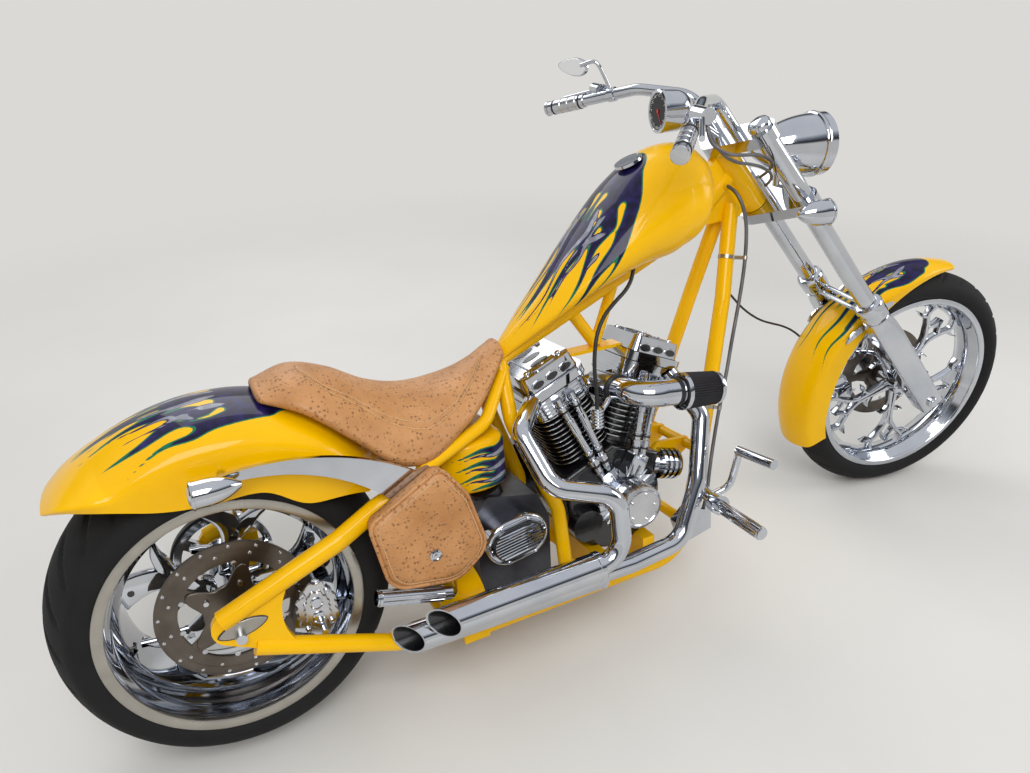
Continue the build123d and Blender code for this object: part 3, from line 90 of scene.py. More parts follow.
# turns a flat drawing upright, so that its z axis points to the motorcycle's right
UPRIGHT = Matrix.Rotation(pi / 2, 4, "X")


def linear(code: str) -> tuple[float, float, float, float]:
    """Turn an sRGB hex colour into a linear one.

    Args:
        code: six hex digits, with or without a leading #.
    Returns:
        Linear red, green, blue and an alpha of 1.
    """
    values = [int(code.lstrip("#")[i : i + 2], 16) / 255 for i in (0, 2, 4)]
    bent = [v / 12.92 if v <= 0.04045 else ((v + 0.055) / 1.055) ** 2.4 for v in values]
    return (bent[0], bent[1], bent[2], 1.0)


def add_node(tree: Tree, kind: str, settings: Optional[dict] = None) -> Any:
    """Add a node to a tree with its settings and links.

    Args:
        tree: the node tree.
        kind: the node's type name.
        settings: attribute names, or socket names and numbers, each with its value,
            its hex colour or the output that feeds it.
    Returns:
        The new node.
    """
    node = tree.nodes.new(kind)
    for key, value in (settings or {}).items():
        if isinstance(value, bpy.types.NodeSocket):
            tree.links.new(value, node.inputs[key])
        elif isinstance(key, str) and hasattr(node, key):
            setattr(node, key, value)
        else:
            node.inputs[key].default_value = linear(value) if str(value)[0] == "#" else value
    return node


def ranged(tree: Tree, value: Any, low: float, high: float, first: float = 0.0, last: float = 1.0) -> Any:
    """Map a value from between two levels to between two others. Returns the value output."""
    levels = {"From Min": low, "From Max": high, "To Min": first, "To Max": last, "Value": value}
    return add_node(tree, "ShaderNodeMapRange", levels).outputs[0]


def mixed(tree: Tree, share: Any, first: Any, second: Any) -> Any:
    """Mix two colours, each an output or a hex code, by a share. Returns the colour output."""
    return add_node(tree, "ShaderNodeMix", {"data_type": "RGBA", 0: share, 6: first, 7: second}).outputs[2]


def worked(tree: Tree, operation: str, *values: Any) -> Any:
    """Work numbers and outputs together by a math operation. Returns the value output."""
    return add_node(tree, "ShaderNodeMath", {"operation": operation, **dict(enumerate(values))}).outputs[0]


# --- finishes


@dataclass(frozen=True)
class Finish:
    """An even finish with a fine grain and smudges, such as paint, chrome or moulded rubber."""

    name: str
    colour: str
    # the record's material slot of pieces that wear it
    slot: str = ""
    metallic: float = 0.0
    roughness: float = 0.4
    coat: float = 0.0
    specular: float = 0.5
    grain_mm: float = 1.2
    grain_depth_mm: float = 0.0
    worn: str = ""
    patch_mm: float = 60.0
    rough_spread: float = 0.06

    def material(self) -> bpy.types.Material:
        """Build the node material once, and return it."""
        if self.name in bpy.data.materials:
            return bpy.data.materials[self.name]
        made = bpy.data.materials.new(self.name)
        made.use_nodes = True
        made.diffuse_color = linear(self.colour)
        tree = made.node_tree
        tree.nodes.clear()
        where = add_node(tree, "ShaderNodeTexCoord").outputs["Object"]
        even = {"Base Color": self.colour, "Metallic": self.metallic, "Roughness": self.roughness}
        if not self.metallic:
            even["Specular IOR Level"] = self.specular
        if self.coat:
            even.update({"Coat Weight": self.coat, "Coat Roughness": 0.03})
        shader = add_node(tree, "ShaderNodeBsdfPrincipled", even)
        self.paint(tree, where, shader)
        if not any(node.type == "OUTPUT_MATERIAL" for node in tree.nodes):
            add_node(tree, "ShaderNodeOutputMaterial", {"Surface": shader.outputs[0]})
        return made

    def paint(self, tree: Tree, where: Any, shader: Any) -> None:
        """Vary colour, roughness and height over the surface.

        Args:
            tree: the material's tree.
            where: the coordinate output.
            shader: the surface shader.
        """
        patches = self.patches(tree, where)
        if self.worn:
            tree.links.new(self.tint(tree, patches, self.colour, self.worn), shader.inputs["Base Color"])
        smooth = max(0.02, self.roughness - self.rough_spread / 2)
        rough = ranged(tree, patches, 0.3, 0.7, smooth, self.roughness + self.rough_spread)
        tree.links.new(rough, shader.inputs["Roughness"])
        if self.grain_depth_mm:
            self.emboss(tree, shader, self.grain(tree, where), self.grain_depth_mm)

    def patches(self, tree: Tree, where: Any, size_mm: float = 0.0, detail: float = 4.0) -> Any:
        """Broad soft patches, as handling and weather leave them. Returns the value output."""
        scale = 1 / ((size_mm or self.patch_mm) * MM)
        return add_node(tree, "ShaderNodeTexNoise", {"Scale": scale, "Detail": detail, "Vector": where}).outputs[0]

    def grain(self, tree: Tree, where: Any) -> Any:
        """The fine grain of the surface. Returns the value output."""
        return self.patches(tree, where, self.grain_mm, 3.0)

    def tint(self, tree: Tree, value: Any, first: str, second: str, low: float = 0.35, high: float = 0.7) -> Any:
        """Blend two colours by a value between two levels. Returns the colour output."""
        return mixed(tree, ranged(tree, value, low, high), first, second)

    def emboss(self, tree: Tree, shader: Any, height: Any, depth_mm: float) -> None:
        """Raise the surface by a height output of 0 to 1 times a depth."""
        bump = add_node(tree, "ShaderNodeBump", {"Distance": depth_mm * MM, "Strength": 1.0, "Height": height})
        tree.links.new(bump.outputs[0], shader.inputs["Normal"])
        if "Coat Normal" in shader.inputs and self.coat:
            tree.links.new(bump.outputs[0], shader.inputs["Coat Normal"])


@dataclass(frozen=True)
class FlameEnamel(Finish):
    """Clear-coated enamel with airbrushed flames, each bounded by a pinstripe."""

    first: str = "#110c2b"
    second: str = "#74767f"
    stripe: str = "#0f6b48"
    ember: str = "#2b2266"
    glow: str = "#a5a7b2"
    edge: str = "#231b4a"

    def paint(self, tree: Tree, where: Any, shader: Any) -> None:
        """Lay the flame colours over the ground by the distances kept on the mesh."""
        ground = self.tint(tree, self.patches(tree, where), self.colour, self.worn)
        mottle = self.grain(tree, where)
        under = add_node(tree, "ShaderNodeAttribute", {"attribute_name": "flame_under"}).outputs["Fac"]
        over = add_node(tree, "ShaderNodeAttribute", {"attribute_name": "flame_over"}).outputs["Fac"]
        layers = ((under, self.first, self.ember, self.stripe, 1.5), (over, self.second, self.glow, self.edge, 1.1))
        for distance, body, glow, stripe, half in layers:
            inside = self.tint(tree, mottle, body, glow, 0.42, 0.85)
            for colour, edge in ((stripe, half), (inside, -half)):
                ground = mixed(tree, ranged(tree, distance, edge + 0.25, edge - 0.25), ground, colour)
        tree.links.new(ground, shader.inputs["Base Color"])


@dataclass(frozen=True)
class OstrichHide(Finish):
    """Tanned ostrich: soft creases with scattered raised quill marks."""

    quill: str = "#86592f"
    quill_mm: float = 7.4

    def paint(self, tree: Tree, where: Any, shader: Any) -> None:
        """Blend the hide's tones, darken the quill marks and raise them."""
        hide = self.tint(tree, self.patches(tree, where), self.colour, self.worn)
        scale = 1 / (self.quill_mm * MM)
        cells = add_node(tree, "ShaderNodeTexVoronoi", {"Scale": scale, "Randomness": 0.8, "Vector": where}).outputs
        chosen = add_node(tree, "ShaderNodeSeparateColor", {"Color": cells["Color"]}).outputs[0]
        # each quill has its own size; some cells have none
        size = ranged(tree, chosen, 0.05, 0.8, 0.0, 0.33)
        gap = worked(tree, "SUBTRACT", size, cells["Distance"])
        mark = ranged(tree, gap, -0.16, 0.1)
        halo = ranged(tree, gap, -0.16, 0.02)
        warm = mixed(tree, halo, hide, "#cd9661")
        tree.links.new(mixed(tree, mark, warm, self.quill), shader.inputs["Base Color"])
        height = worked(tree, "MULTIPLY_ADD", halo, 0.9, self.grain(tree, where))
        self.emboss(tree, shader, height, self.grain_depth_mm)


class Coat(Enum):
    """The finishes of the motorcycle, each named for what the real one is."""

    # Two-stage enamel, polished: deep even colour under a wet clear coat.
    YELLOW = Finish(
        "yellow_clear_coated_enamel", "#efb800", "yellow_paint", roughness=0.3, coat=0.32, specular=0.08,
        worn="#e6ad00", patch_mm=220
    )
    FLAMES = FlameEnamel(
        "flamed_clear_coated_enamel", "#efb800", "yellow_paint", roughness=0.3, coat=0.32, specular=0.08,
        worn="#e6ad00", patch_mm=220, grain_mm=22
    )
    # Black gloss enamel on cast aluminium: dark with soft highlights; in the wheels' blade holes the same black is
    # painted shade.
    BLACK = Finish(
        "black_gloss_enamel", "#0d0d10", "black_paint", roughness=0.25, coat=0.6, worn="#16161a", grain_mm=2.5,
        grain_depth_mm=0.05
    )
    # Triple chrome plate on polished steel: a mirror with faint smudges.
    CHROME = Finish(
        "chrome_plate", "#c9ccd2", "chrome", metallic=1.0, roughness=0.05, rough_spread=0.06, worn="#bcc0c8",
        patch_mm=90
    )
    # Machined, hand polished aluminium: a softer, warmer mirror.
    ALUMINIUM = Finish(
        "polished_aluminium", "#c9cacd", "aluminium", metallic=1.0, roughness=0.2, rough_spread=0.12, worn="#b7b8bc",
        grain_mm=3, grain_depth_mm=0.02
    )
    # Satin machined aluminium of a wheel's lip: soft, slightly warm grey.
    SATIN = Finish(
        "satin_machined_aluminium", "#b0aca4", "aluminium", metallic=1.0, roughness=0.3, rough_spread=0.1,
        worn="#a29e96", grain_mm=2, grain_depth_mm=0.02
    )
    # Dark anodised castings of engine and gearbox: near black metal with soft highlights.
    CASE = Finish(
        "dark_anodised_cast_aluminium", "#47474c", metallic=0.9, roughness=0.3, worn="#35353a", grain_mm=2.5,
        grain_depth_mm=0.04
    )
    # Brushed stainless steel of brake discs: grey with a fine turned grain.
    STEEL = Finish(
        "brushed_stainless_steel", "#6f675f", "steel", metallic=1.0, roughness=0.34, worn="#5c554e", grain_mm=1.5,
        grain_depth_mm=0.03
    )
    # Vulcanised rubber: near black, dry, a little dusty.
    TYRE = Finish(
        "vulcanised_tyre_rubber", "#111112", "tyre", roughness=0.8, specular=0.3, worn="#191919", grain_mm=1.6,
        grain_depth_mm=0.12, patch_mm=40
    )
    RUBBER = Finish(
        "moulded_rubber", "#131314", "rubber", roughness=0.5, worn="#1d1d1e", grain_mm=1.2, grain_depth_mm=0.06
    )
    MIRROR = Finish(
        "silvered_mirror_glass", "#eef1f4", "chrome", metallic=1.0, roughness=0.02, rough_spread=0.0, patch_mm=200
    )
    # Domed lamp glass, seen as a pale bright surface with a wet gloss.
    GLASS = Finish(
        "moulded_lamp_glass", "#cfd6dc", metallic=0.35, roughness=0.06, coat=1.0, worn="#b8c2ca", patch_mm=26
    )
    # Printed dial card: matt black with pale marks.
    DIAL = Finish(
        "printed_dial_card", "#0c0e12", "black_paint", roughness=0.45, coat=0.25, specular=0.2, worn="#12151a",
        patch_mm=15
    )
    PALE = Finish("printed_pale_ink", "#dfe3e0", roughness=0.5, patch_mm=10)
    RED = Finish("painted_red_hand", "#c2271d", roughness=0.4, patch_mm=10)
    # Vegetable tanned ostrich: tan with darker quill marks and soft creases.
    HIDE = OstrichHide(
        "tan_ostrich_hide", "#c08a56", "ostrich_leather", roughness=0.46, worn="#a9733f", grain_mm=4.0,
        grain_depth_mm=0.9, patch_mm=70
    )
    # Waxed linen thread of the seams, paler than the hide.
    THREAD = Finish(
        "waxed_linen_thread", "#d8b98c", roughness=0.7, worn="#c9a679", grain_mm=1.0, grain_depth_mm=0.2, patch_mm=8
    )
    # Oiled cotton over pleated mesh: matt black.
    PLEATS = Finish(
        "oiled_pleated_cotton", "#1b191c", "filter", roughness=0.8, worn="#2a262b", grain_mm=0.8, grain_depth_mm=0.1
    )
    # Braided stainless steel over a hose: fine grey weave.
    BRAID = Finish(
        "braided_steel_hose", "#77777a", "braided_hose", metallic=0.8, roughness=0.42, worn="#5c5c60", grain_mm=1.4,
        grain_depth_mm=0.3
    )

    def material(self) -> bpy.types.Material:
        """The node material of this finish."""
        return self.value.material()


# --- shaping tools


@dataclass(frozen=True)
class Stand:
    """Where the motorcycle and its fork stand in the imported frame."""

    bike: Matrix
    fork: Matrix
    lean: float = 10.0
    rear_axle_height: float = 329.0
    low_clamp_height: float = 815.0

    @classmethod
    def read(cls, joints: Sequence[dict]) -> "Stand":
        """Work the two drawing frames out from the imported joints.

        Args:
            joints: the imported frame's joints.
        Returns:
            The upright motorcycle's frame and the steered fork's frame.
        """
        spin = {j["name"]: j for j in joints}
        lean = Matrix.Rotation(radians(-cls.lean), 4, "X")
        rear = Vector(spin["rear_wheel_spin"]["pos_m"])
        bike = Matrix.Translation(rear) @ lean @ lift(-cls.rear_axle_height * MM)
        up = Vector(spin["steering"]["axis"]).normalized()
        left = Vector(spin["front_wheel_spin"]["axis"]).normalized()
        ahead = left.cross(up)
        origin = Vector(spin["steering"]["pos_m"]) - up * cls.low_clamp_height * MM
        fork = Matrix.Translation(origin) @ Matrix((ahead, left, up)).transposed().to_4x4()
        return cls(bike, fork)


class Pattern(Enum):
    """The ways in which a part repeats."""

    RING = "ring"
    ROW = "row"
    PATH = "path"


def repeat_tree(pattern: Pattern) -> bpy.types.GeometryNodeTree:
    """Build, once, the node tree that repeats a part in one of the ways."""
    name = "repeat_" + pattern.value
    if name in bpy.data.node_groups:
        return bpy.data.node_groups[name]
    tree = bpy.data.node_groups.new(name, "GeometryNodeTree")
    kinds = {Pattern.RING: "NodeSocketFloat", Pattern.ROW: "NodeSocketVector", Pattern.PATH: "NodeSocketObject"}
    for label, kind in (
        ("Part", "NodeSocketGeometry"), ("Count", "NodeSocketInt"), ("Spacing", kinds[pattern]),
        ("Finish", "NodeSocketMaterial")
    ):
        tree.interface.new_socket(label, in_out="INPUT", socket_type=kind)
    tree.interface.new_socket("Result", in_out="OUTPUT", socket_type="NodeSocketGeometry")
    start = add_node(tree, "NodeGroupInput").outputs
    placing = {"Instance": start["Part"]}
    if pattern is Pattern.RING:
        spots = add_node(tree, "GeometryNodeMeshCircle", {"Vertices": start["Count"], "Radius": start["Spacing"]})
        index = add_node(tree, "GeometryNodeInputIndex").outputs[0]
        angle = worked(tree, "MULTIPLY", worked(tree, "DIVIDE", index, start["Count"]), 2 * pi)
        turn = add_node(tree, "ShaderNodeCombineXYZ", {"Z": angle}).outputs[0]
        placing["Rotation"] = add_node(tree, "FunctionNodeEulerToRotation", {0: turn}).outputs[0]
    elif pattern is Pattern.ROW:
        spots = add_node(tree, "GeometryNodeMeshLine", {"Count": start["Count"], "Offset": start["Spacing"]})
    else:
        held = add_node(tree, "GeometryNodeObjectInfo", {"Object": start["Spacing"]}).outputs["Geometry"]
        line = add_node(tree, "GeometryNodeMeshToCurve", {"Mesh": held}).outputs[0]
        spots = add_node(tree, "GeometryNodeCurveToPoints", {"mode": "COUNT", "Curve": line, "Count": start["Count"]})
        way = add_node(tree, "FunctionNodeAlignRotationToVector", {"axis": "X", "Vector": spots.outputs["Tangent"]})
        placing["Rotation"] = way.outputs[0]
    placing["Points"] = spots.outputs[0]
    placed = add_node(tree, "GeometryNodeInstanceOnPoints", placing).outputs[0]
    real = add_node(tree, "GeometryNodeRealizeInstances", {0: placed}).outputs[0]
    done = add_node(tree, "GeometryNodeSetMaterial", {"Geometry": real, "Material": start["Finish"]}).outputs[0]
    add_node(tree, "NodeGroupOutput", {0: done})
    return tree


def repeated(part: "Former", pattern: Pattern, count: int, spacing: Any) -> bpy.types.Mesh:
    """Repeat a part by Geometry Nodes and bake the result to a mesh.

    Args:
        part: the part, in millimetres.
        pattern: round an axis, along a row or along a path.
        count: how many.
        spacing: the ring's radius, the row's step or the path's points.
    Returns:
        The plain mesh, in millimetres.
    """
    bmesh.ops.recalc_face_normals(part.bm, faces=part.bm.faces)
    mesh = bpy.data.meshes.new(part.name)
    part.bm.to_mesh(mesh)
    part.bm.free()
    holder = bpy.data.objects.new(part.name, mesh)
    bpy.context.scene.collection.objects.link(holder)
    guide = None
    if pattern is Pattern.PATH:
        wire = bpy.data.meshes.new(part.name + "_path")
        wire.from_pydata([tuple(p) for p in spacing], [(i, i + 1) for i in range(len(spacing) - 1)], [])
        guide = bpy.data.objects.new(wire.name, wire)
        bpy.context.scene.collection.objects.link(guide)
        spacing = guide
    tree = repeat_tree(pattern)
    modifier = holder.modifiers.new("repeat", "NODES")
    modifier.node_group = tree
    if pattern is Pattern.ROW:
        spacing = [float(v) for v in spacing]
    elif pattern is Pattern.RING:
        spacing = float(spacing)
    values = {"Count": count, "Spacing": spacing, "Finish": Coat.CHROME.material()}
    for item in tree.interface.items_tree:
        if item.in_out == "INPUT" and item.name in values:
            modifier[item.identifier] = values[item.name]
    bpy.context.view_layer.update()
    seen = holder.evaluated_get(bpy.context.evaluated_depsgraph_get())
    baked = bpy.data.meshes.new_from_object(seen)
    holder.modifiers.remove(modifier)
    for spare in (holder, guide):
        if spare:
            data = spare.data
            bpy.data.objects.remove(spare)
            bpy.data.meshes.remove(data)
    return baked


class Former:
    """Collects closed shapes, in millimetres of one drawing frame, into one mesh."""

    def __init__(self, name: str, frame: Optional[Matrix] = None, body: str = "chassis") -> None:
        """Start an empty mesh with a name, in a drawing frame or about its own origin, for a body."""
        self.name = name
        self.body = body
        self.frame = frame or Matrix.Identity(4)
        self.bm = bmesh.new()

    def skin(self, rings: Sequence[Rows], at: Optional[Matrix] = None, closed: bool = False) -> None:
        """Join rings of equal length into a closed skin.

        Args:
            rings: each ring's points.
            at: where the rings stand in the drawing frame.
            closed: whether the last ring joins the first, as in a torus.
        """
        place = at or Matrix.Identity(4)
        rows = [[self.bm.verts.new(place @ Vector(p)) for p in ring] for ring in rings]
        pairs = list(zip(rows, rows[1:] + ([rows[0]] if closed else [])))
        for a, b in pairs:
            for i in range(len(a)):
                j = (i + 1) % len(a)
                self.bm.faces.new((a[i], a[j], b[j], b[i]))
        if not closed:
            self.bm.faces.new(list(reversed(rows[0])))
            self.bm.faces.new(rows[-1])

    def lathe(self, profile: Rows, at: Optional[Matrix] = None, steps: int = 40, hollow: bool = False) -> None:
        """Turn a profile of radius and height round the local z axis; a hollow one is a loop, as in a ring."""
        turn = [2 * pi * k / steps for k in range(steps)]
        self.skin([[polar(r, a, h) for a in turn] for r, h in profile], at, hollow)

    def ring_of(self, part: "Former", count: int, radius: float, at: Matrix) -> None:
        """Repeat a part, drawn with x pointing outwards, round the local z axis at a radius."""
        self.take(repeated(part, Pattern.RING, count, radius), at)

    def row_of(self, part: "Former", count: int, step: Row, at: Matrix) -> None:
        """Repeat a part along a straight row, by a step from one to the next."""
        self.take(repeated(part, Pattern.ROW, count, step), at)

    def along_path(self, part: "Former", path: Rows, count: int) -> None:
        """Repeat a part along a path, its x axis along the path."""
        self.take(repeated(part, Pattern.PATH, count, path), Matrix.Identity(4))

    def take(self, mesh: bpy.types.Mesh, at: Matrix) -> None:
        """Add a finished mesh, placed by a frame, and delete it."""
        mesh.transform(at)
        self.bm.from_mesh(mesh)
        bpy.data.meshes.remove(mesh)

    def plate(self, outline: Rows, depth: float, at: Optional[Matrix], edge: float = 1.0) -> None:
        """Thicken an outline in the local xy plane, with a small bevelled rim.

        Args:
            outline: the corners, anticlockwise.
            depth: thickness along local z.
            at: the plate's frame.
            edge: width of the bevel.
        """
        middle = centre(outline)
        shrunk = []
        for i, p in enumerate(outline):
            a = Vector(p) - Vector(outline[i - 1])
            b = Vector(outline[(i + 1) % len(outline)]) - Vector(p)
            if a.length < 1e-6 or b.length < 1e-6:
                shrunk.append(Vector(p))
                continue
            normal = Vector((-a.y, a.x)).normalized() + Vector((-b.y, b.x)).normalized()
            normal = normal.normalized() if normal.length > 1e-6 else (middle - Vector(p)).normalized()
            shrunk.append(Vector(p) + normal * edge)
        layers = ((shrunk, 0), (outline, edge), (outline, depth - edge), (shrunk, depth))
        self.skin([[(p[0], p[1], z) for p in line] for line, z in layers], at)

    def pipe(self, path: Rows, radius: float, steps: int = 16, radii: Optional[Sequence[float]] = None) -> None:
        """Sweep a round section along a path of points.

        Args:
            path: the points.
            radius: the section's radius.
            steps: segments round.
            radii: a radius for each point, in place of the one radius.
        """
        points = [Vector(p) for p in path]
        side = None
        rings = []
        for i, p in enumerate(points):
            way = (points[min(i + 1, len(points) - 1)] - points[max(i - 1, 0)]).normalized()
            if side is None:
                side = way.orthogonal().normalized()
            side = (side - way * side.dot(way)).normalized()
            up = way.cross(side)
            r = radii[i] if radii else radius
            rings.append([p + side * x + up * y for x, y in (polar(r, 2 * pi * k / steps) for k in range(steps))])
        self.skin(rings)

    def finish(self, sharp: float = 35.0) -> bpy.types.Object:
        """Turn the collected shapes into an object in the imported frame.

        Args:
            sharp: edges that turn by more degrees than this stay crisp.
        Returns:
            The object, with its place in its mesh.
        """
        bmesh.ops.scale(self.bm, vec=(MM, MM, MM), verts=self.bm.verts)
        bmesh.ops.transform(self.bm, matrix=self.frame, verts=self.bm.verts)
        bmesh.ops.recalc_face_normals(self.bm, faces=self.bm.faces)
        mesh = bpy.data.meshes.new(self.name)
        self.bm.to_mesh(mesh)
        self.bm.free()
        mesh.polygons.foreach_set("use_smooth", [True] * len(mesh.polygons))
        mesh.set_sharp_from_angle(angle=radians(sharp))
        made = bpy.data.objects.new(self.name, mesh)
        bpy.context.scene.collection.objects.link(made)
        return made

    def dress(self, coat: Coat, *nodes: str, sharp: float = 35.0, slot: str = "") -> bpy.types.Object:
        """Finish the piece, give it its coat and its body, and hide the CAD nodes that it stands for."""
        return dress(self.finish(sharp), self.body, coat, *nodes, slot=slot)


@dataclass
class Fitting:
    """Something drawn in the motorcycle's or the fork's frame."""

    stand: Stand

    def on_bike(self, name: str) -> Former:
        """Start a piece that rides on the chassis."""
        return Former(name, self.stand.bike)

    def on_fork(self, name: str) -> Former:
        """Start a piece that turns with the fork."""
        return Former(name, self.stand.fork, "front_end")


def centre(outline: Rows) -> Vector:
    """The mean of an outline's corners."""
    return Vector((sum(p[0] for p in outline), sum(p[1] for p in outline))) / len(outline)


def turned(name: str, profile: Rows, steps: int) -> Former:
    """A small round part about its own z axis, ready to be repeated."""
    part = Former(name)
    part.lathe(profile, steps=steps)
    return part


def spun(degrees: float) -> Matrix:
    """A turn round the local z axis."""
    return Matrix.Rotation(radians(degrees), 4, "Z")


def on_side(place: Row, side: int) -> Place:
    """A place of the left side (1), or its mirror image on the right (-1)."""
    return (place[0], side * place[1], place[2])


def lift(height: float) -> Matrix:
    """A step along the local z axis."""
    return moved(0, 0, height)


def oval(half_x: float, half_y: float, steps: int) -> list[Spot]:
    """The points of an oval about the origin, anticlockwise."""
    return [(half_x * cos(t), half_y * sin(t)) for t in turns(steps)]


def polar(radius: float, angle: float, *more: float) -> tuple:
    """A point at a radius and an angle about the origin, with any further coordinates."""
    return (radius * cos(angle), radius * sin(angle), *more)


def moved(x: float, y: float, z: float) -> Matrix:
    """A step in the local frame."""
    return Matrix.Translation((x, y, z))


def turns(steps: int) -> np.ndarray:
    """Equal angles round a full turn, in radians."""
    return np.linspace(0, 2 * pi, steps, endpoint=False)


def axis_frame(start: Row, way: Row, spin: float = 0.0) -> Matrix:
    """A frame at a place, with its z axis along a direction and turned round it by some degrees."""
    turn = Vector(way).to_track_quat("Z", "Y").to_matrix().to_4x4()
    return Matrix.Translation(Vector(start)) @ turn @ spun(spin)


def capped(rows: Rows, section: Callable, depth: float, narrow: float) -> list:
    """The rings along a form, with six more at each end that draw it in round its edge.

    Args:
        rows: the form's sizes, each starting with its place along x.
        section: makes a section's points and the height of its middle of those sizes.
        depth: how far the ends reach out.
        narrow: share by which the last ring is smaller.
    Returns:
        For each ring its points, its x and its section before it is drawn in.
    """
    ends = [(rows[0], -1, i) for i in range(6, 0, -1)]
    ends += [(row, 0, 0) for row in rows] + [(rows[-1], 1, i) for i in range(1, 7)]
    out = []
    for (x, *sizes), end, step in ends:
        a = radians(15 * step)
        scale = 1 - narrow + narrow * cos(a)
        ring, middle = section(x, *sizes)
        x += end * depth * sin(a)
        out.append(([(x, y * scale, middle + (z - middle) * scale) for y, z in ring], x, ring))
    return out


def eased(rows: Rows, steps: int) -> np.ndarray:
    """Ease between the rows of a table along its first column.

    Args:
        rows: the table.
        steps: how many rows come back.
    Returns:
        The finer table.
    """
    table = np.array(rows, float)
    t = table[:, 0]
    slope = np.gradient(table, t, axis=0)
    out = []
    for u in np.linspace(t[0], t[-1], steps):
        i = min(max(int(np.searchsorted(t, u)) - 1, 0), len(t) - 2)
        h = t[i + 1] - t[i]
        s = (u - t[i]) / h
        a, b = 2 * s**3 - 3 * s**2 + 1, s**3 - 2 * s**2 + s
        c, d = -2 * s**3 + 3 * s**2, s**3 - s**2
        out.append(a * table[i] + b * h * slope[i] + c * table[i + 1] + d * h * slope[i + 1])
    return np.array(out)


def curve_points(points: Rows, steps: int) -> np.ndarray:
    """Run a smooth curve through points, and return it as many points."""
    rows = [(float(i), *p) for i, p in enumerate(points)]
    return eased(rows, steps)[:, 1:]


def arc(a: Row, b: Row, c: Row, steps: int) -> list[Spot]:
    """Sample the flat arc through three points, from the first to the last."""
    ax, ay = a
    bx, by = b
    cx, cy = c
    d = 2 * (ax * (by - cy) + bx * (cy - ay) + cx * (ay - by))
    if abs(d) < 1e-6:
        return [(ax + (cx - ax) * i / steps, ay + (cy - ay) * i / steps) for i in range(steps + 1)]
    ux = ((ax**2 + ay**2) * (by - cy) + (bx**2 + by**2) * (cy - ay) + (cx**2 + cy**2) * (ay - by)) / d
    uy = ((ax**2 + ay**2) * (cx - bx) + (bx**2 + by**2) * (ax - cx) + (cx**2 + cy**2) * (bx - ax)) / d
    r = hypot(ax - ux, ay - uy)
    s, m, e = (atan2(y - uy, x - ux) for x, y in (a, b, c))
    full = 2 * pi
    sweep = (e - s) % full
    if (m - s) % full > sweep:
        sweep -= full
    return [(ux + r * cos(s + sweep * i / steps), uy + r * sin(s + sweep * i / steps)) for i in range(steps + 1)]


def dress(piece: bpy.types.Object, body: str, coat: Coat, *nodes: str, slot: str = "") -> bpy.types.Object:
    """Give a piece its finish and its body, and hide the CAD nodes that it stands for.

    Args:
        piece: the finished piece.
        body: the CAD body that it rides on.
        coat: its finish.
        nodes: CAD nodes that it replaces.
        slot: the record's material slot, where it isn't the finish's own; not used.
    Returns:
        The piece.
    """
    piece.data.materials.clear()
    piece.data.materials.append(coat.material())
    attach(piece, body)
    if nodes:
        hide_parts(*nodes)
    slot = slot or coat.value.slot
    LOG.info("piece %s on %s, %d faces", piece.name, body, len(piece.data.polygons))
    return piece


# --- flames


@dataclass(frozen=True)
class Lick:
    """One tongue of flame: a curved stroke that thins from its root to its tip."""

    points: tuple[Spot, ...]
    # half width at the root and at the tip
    root: float
    tip: float
    # share of the length over which it first swells from a point
    lead: float

    def distance(self, u: np.ndarray, v: np.ndarray) -> np.ndarray:
        """The distance of each place to the stroke's edge, negative inside."""
        line = curve_points(self.points, 26)
        t = np.linspace(0, 1, len(line))
        radius = self.tip + (self.root - self.tip) * (1 - t) ** 1.25
        if self.lead:
            radius = np.minimum(radius, self.tip + (self.root - self.tip) * (t / self.lead) ** 0.6)
        best = np.full(u.shape, 1e3)
        for i in range(len(line) - 1):
            (ax, ay), (bx, by) = line[i], line[i + 1]
            dx, dy = bx - ax, by - ay
            s = np.clip(((u - ax) * dx + (v - ay) * dy) / max(dx * dx + dy * dy, 1e-9), 0, 1)
            gap = np.hypot(u - ax - s * dx, v - ay - s * dy) - (radius[i] + s * (radius[i + 1] - radius[i]))
            best = np.minimum(best, gap)
        return best


def licks(*rows: Sequence, tip: float = -1.0, lead: float = 0.0) -> tuple[Lick, ...]:
    """Licks of one kind, each from its root's half width and its points."""
    return tuple(Lick(tuple(points), root, tip, lead) for root, *points in rows)


@dataclass(frozen=True)
class Flames:
    """A painted flame: tongues that run together, and drops left open between them."""

    licks: tuple[Lick, ...]
    drops: tuple[Lick, ...] = ()
    blend: float = 9.0

    def field(self, u: np.ndarray, v: np.ndarray) -> np.ndarray:
        """The distance to the flame's edge over a surface, negative inside."""
        total = self.licks[0].distance(u, v)
        for lick in self.licks[1:]:
            other = lick.distance(u, v)
            h = np.clip(0.5 + 0.5 * (other - total) / self.blend, 0, 1)
            total = other * (1 - h) + total * h - self.blend * h * (1 - h)
        for drop in self.drops:
            total = np.maximum(total, -drop.distance(u, v))
        return total


def paint_flames(piece: bpy.types.Object, places: Rows, under: Flames, over: Flames) -> None:
    """Keep the distances to both flame layers on the piece's points.

    Args:
        piece: the painted panel.
        places: each point's distance along and across the panel, in millimetres.
        under: the dark layer.
        over: the pale layer.
    """
    spots = np.array(places, float)
    for name, flames in (("flame_under", under), ("flame_over", over)):
        values = flames.field(spots[:, 0], spots[:, 1])
        kept = piece.data.attributes.new(name, "FLOAT", "POINT")
        kept.data.foreach_set("value", values.astype(np.float32))


# --- bodywork


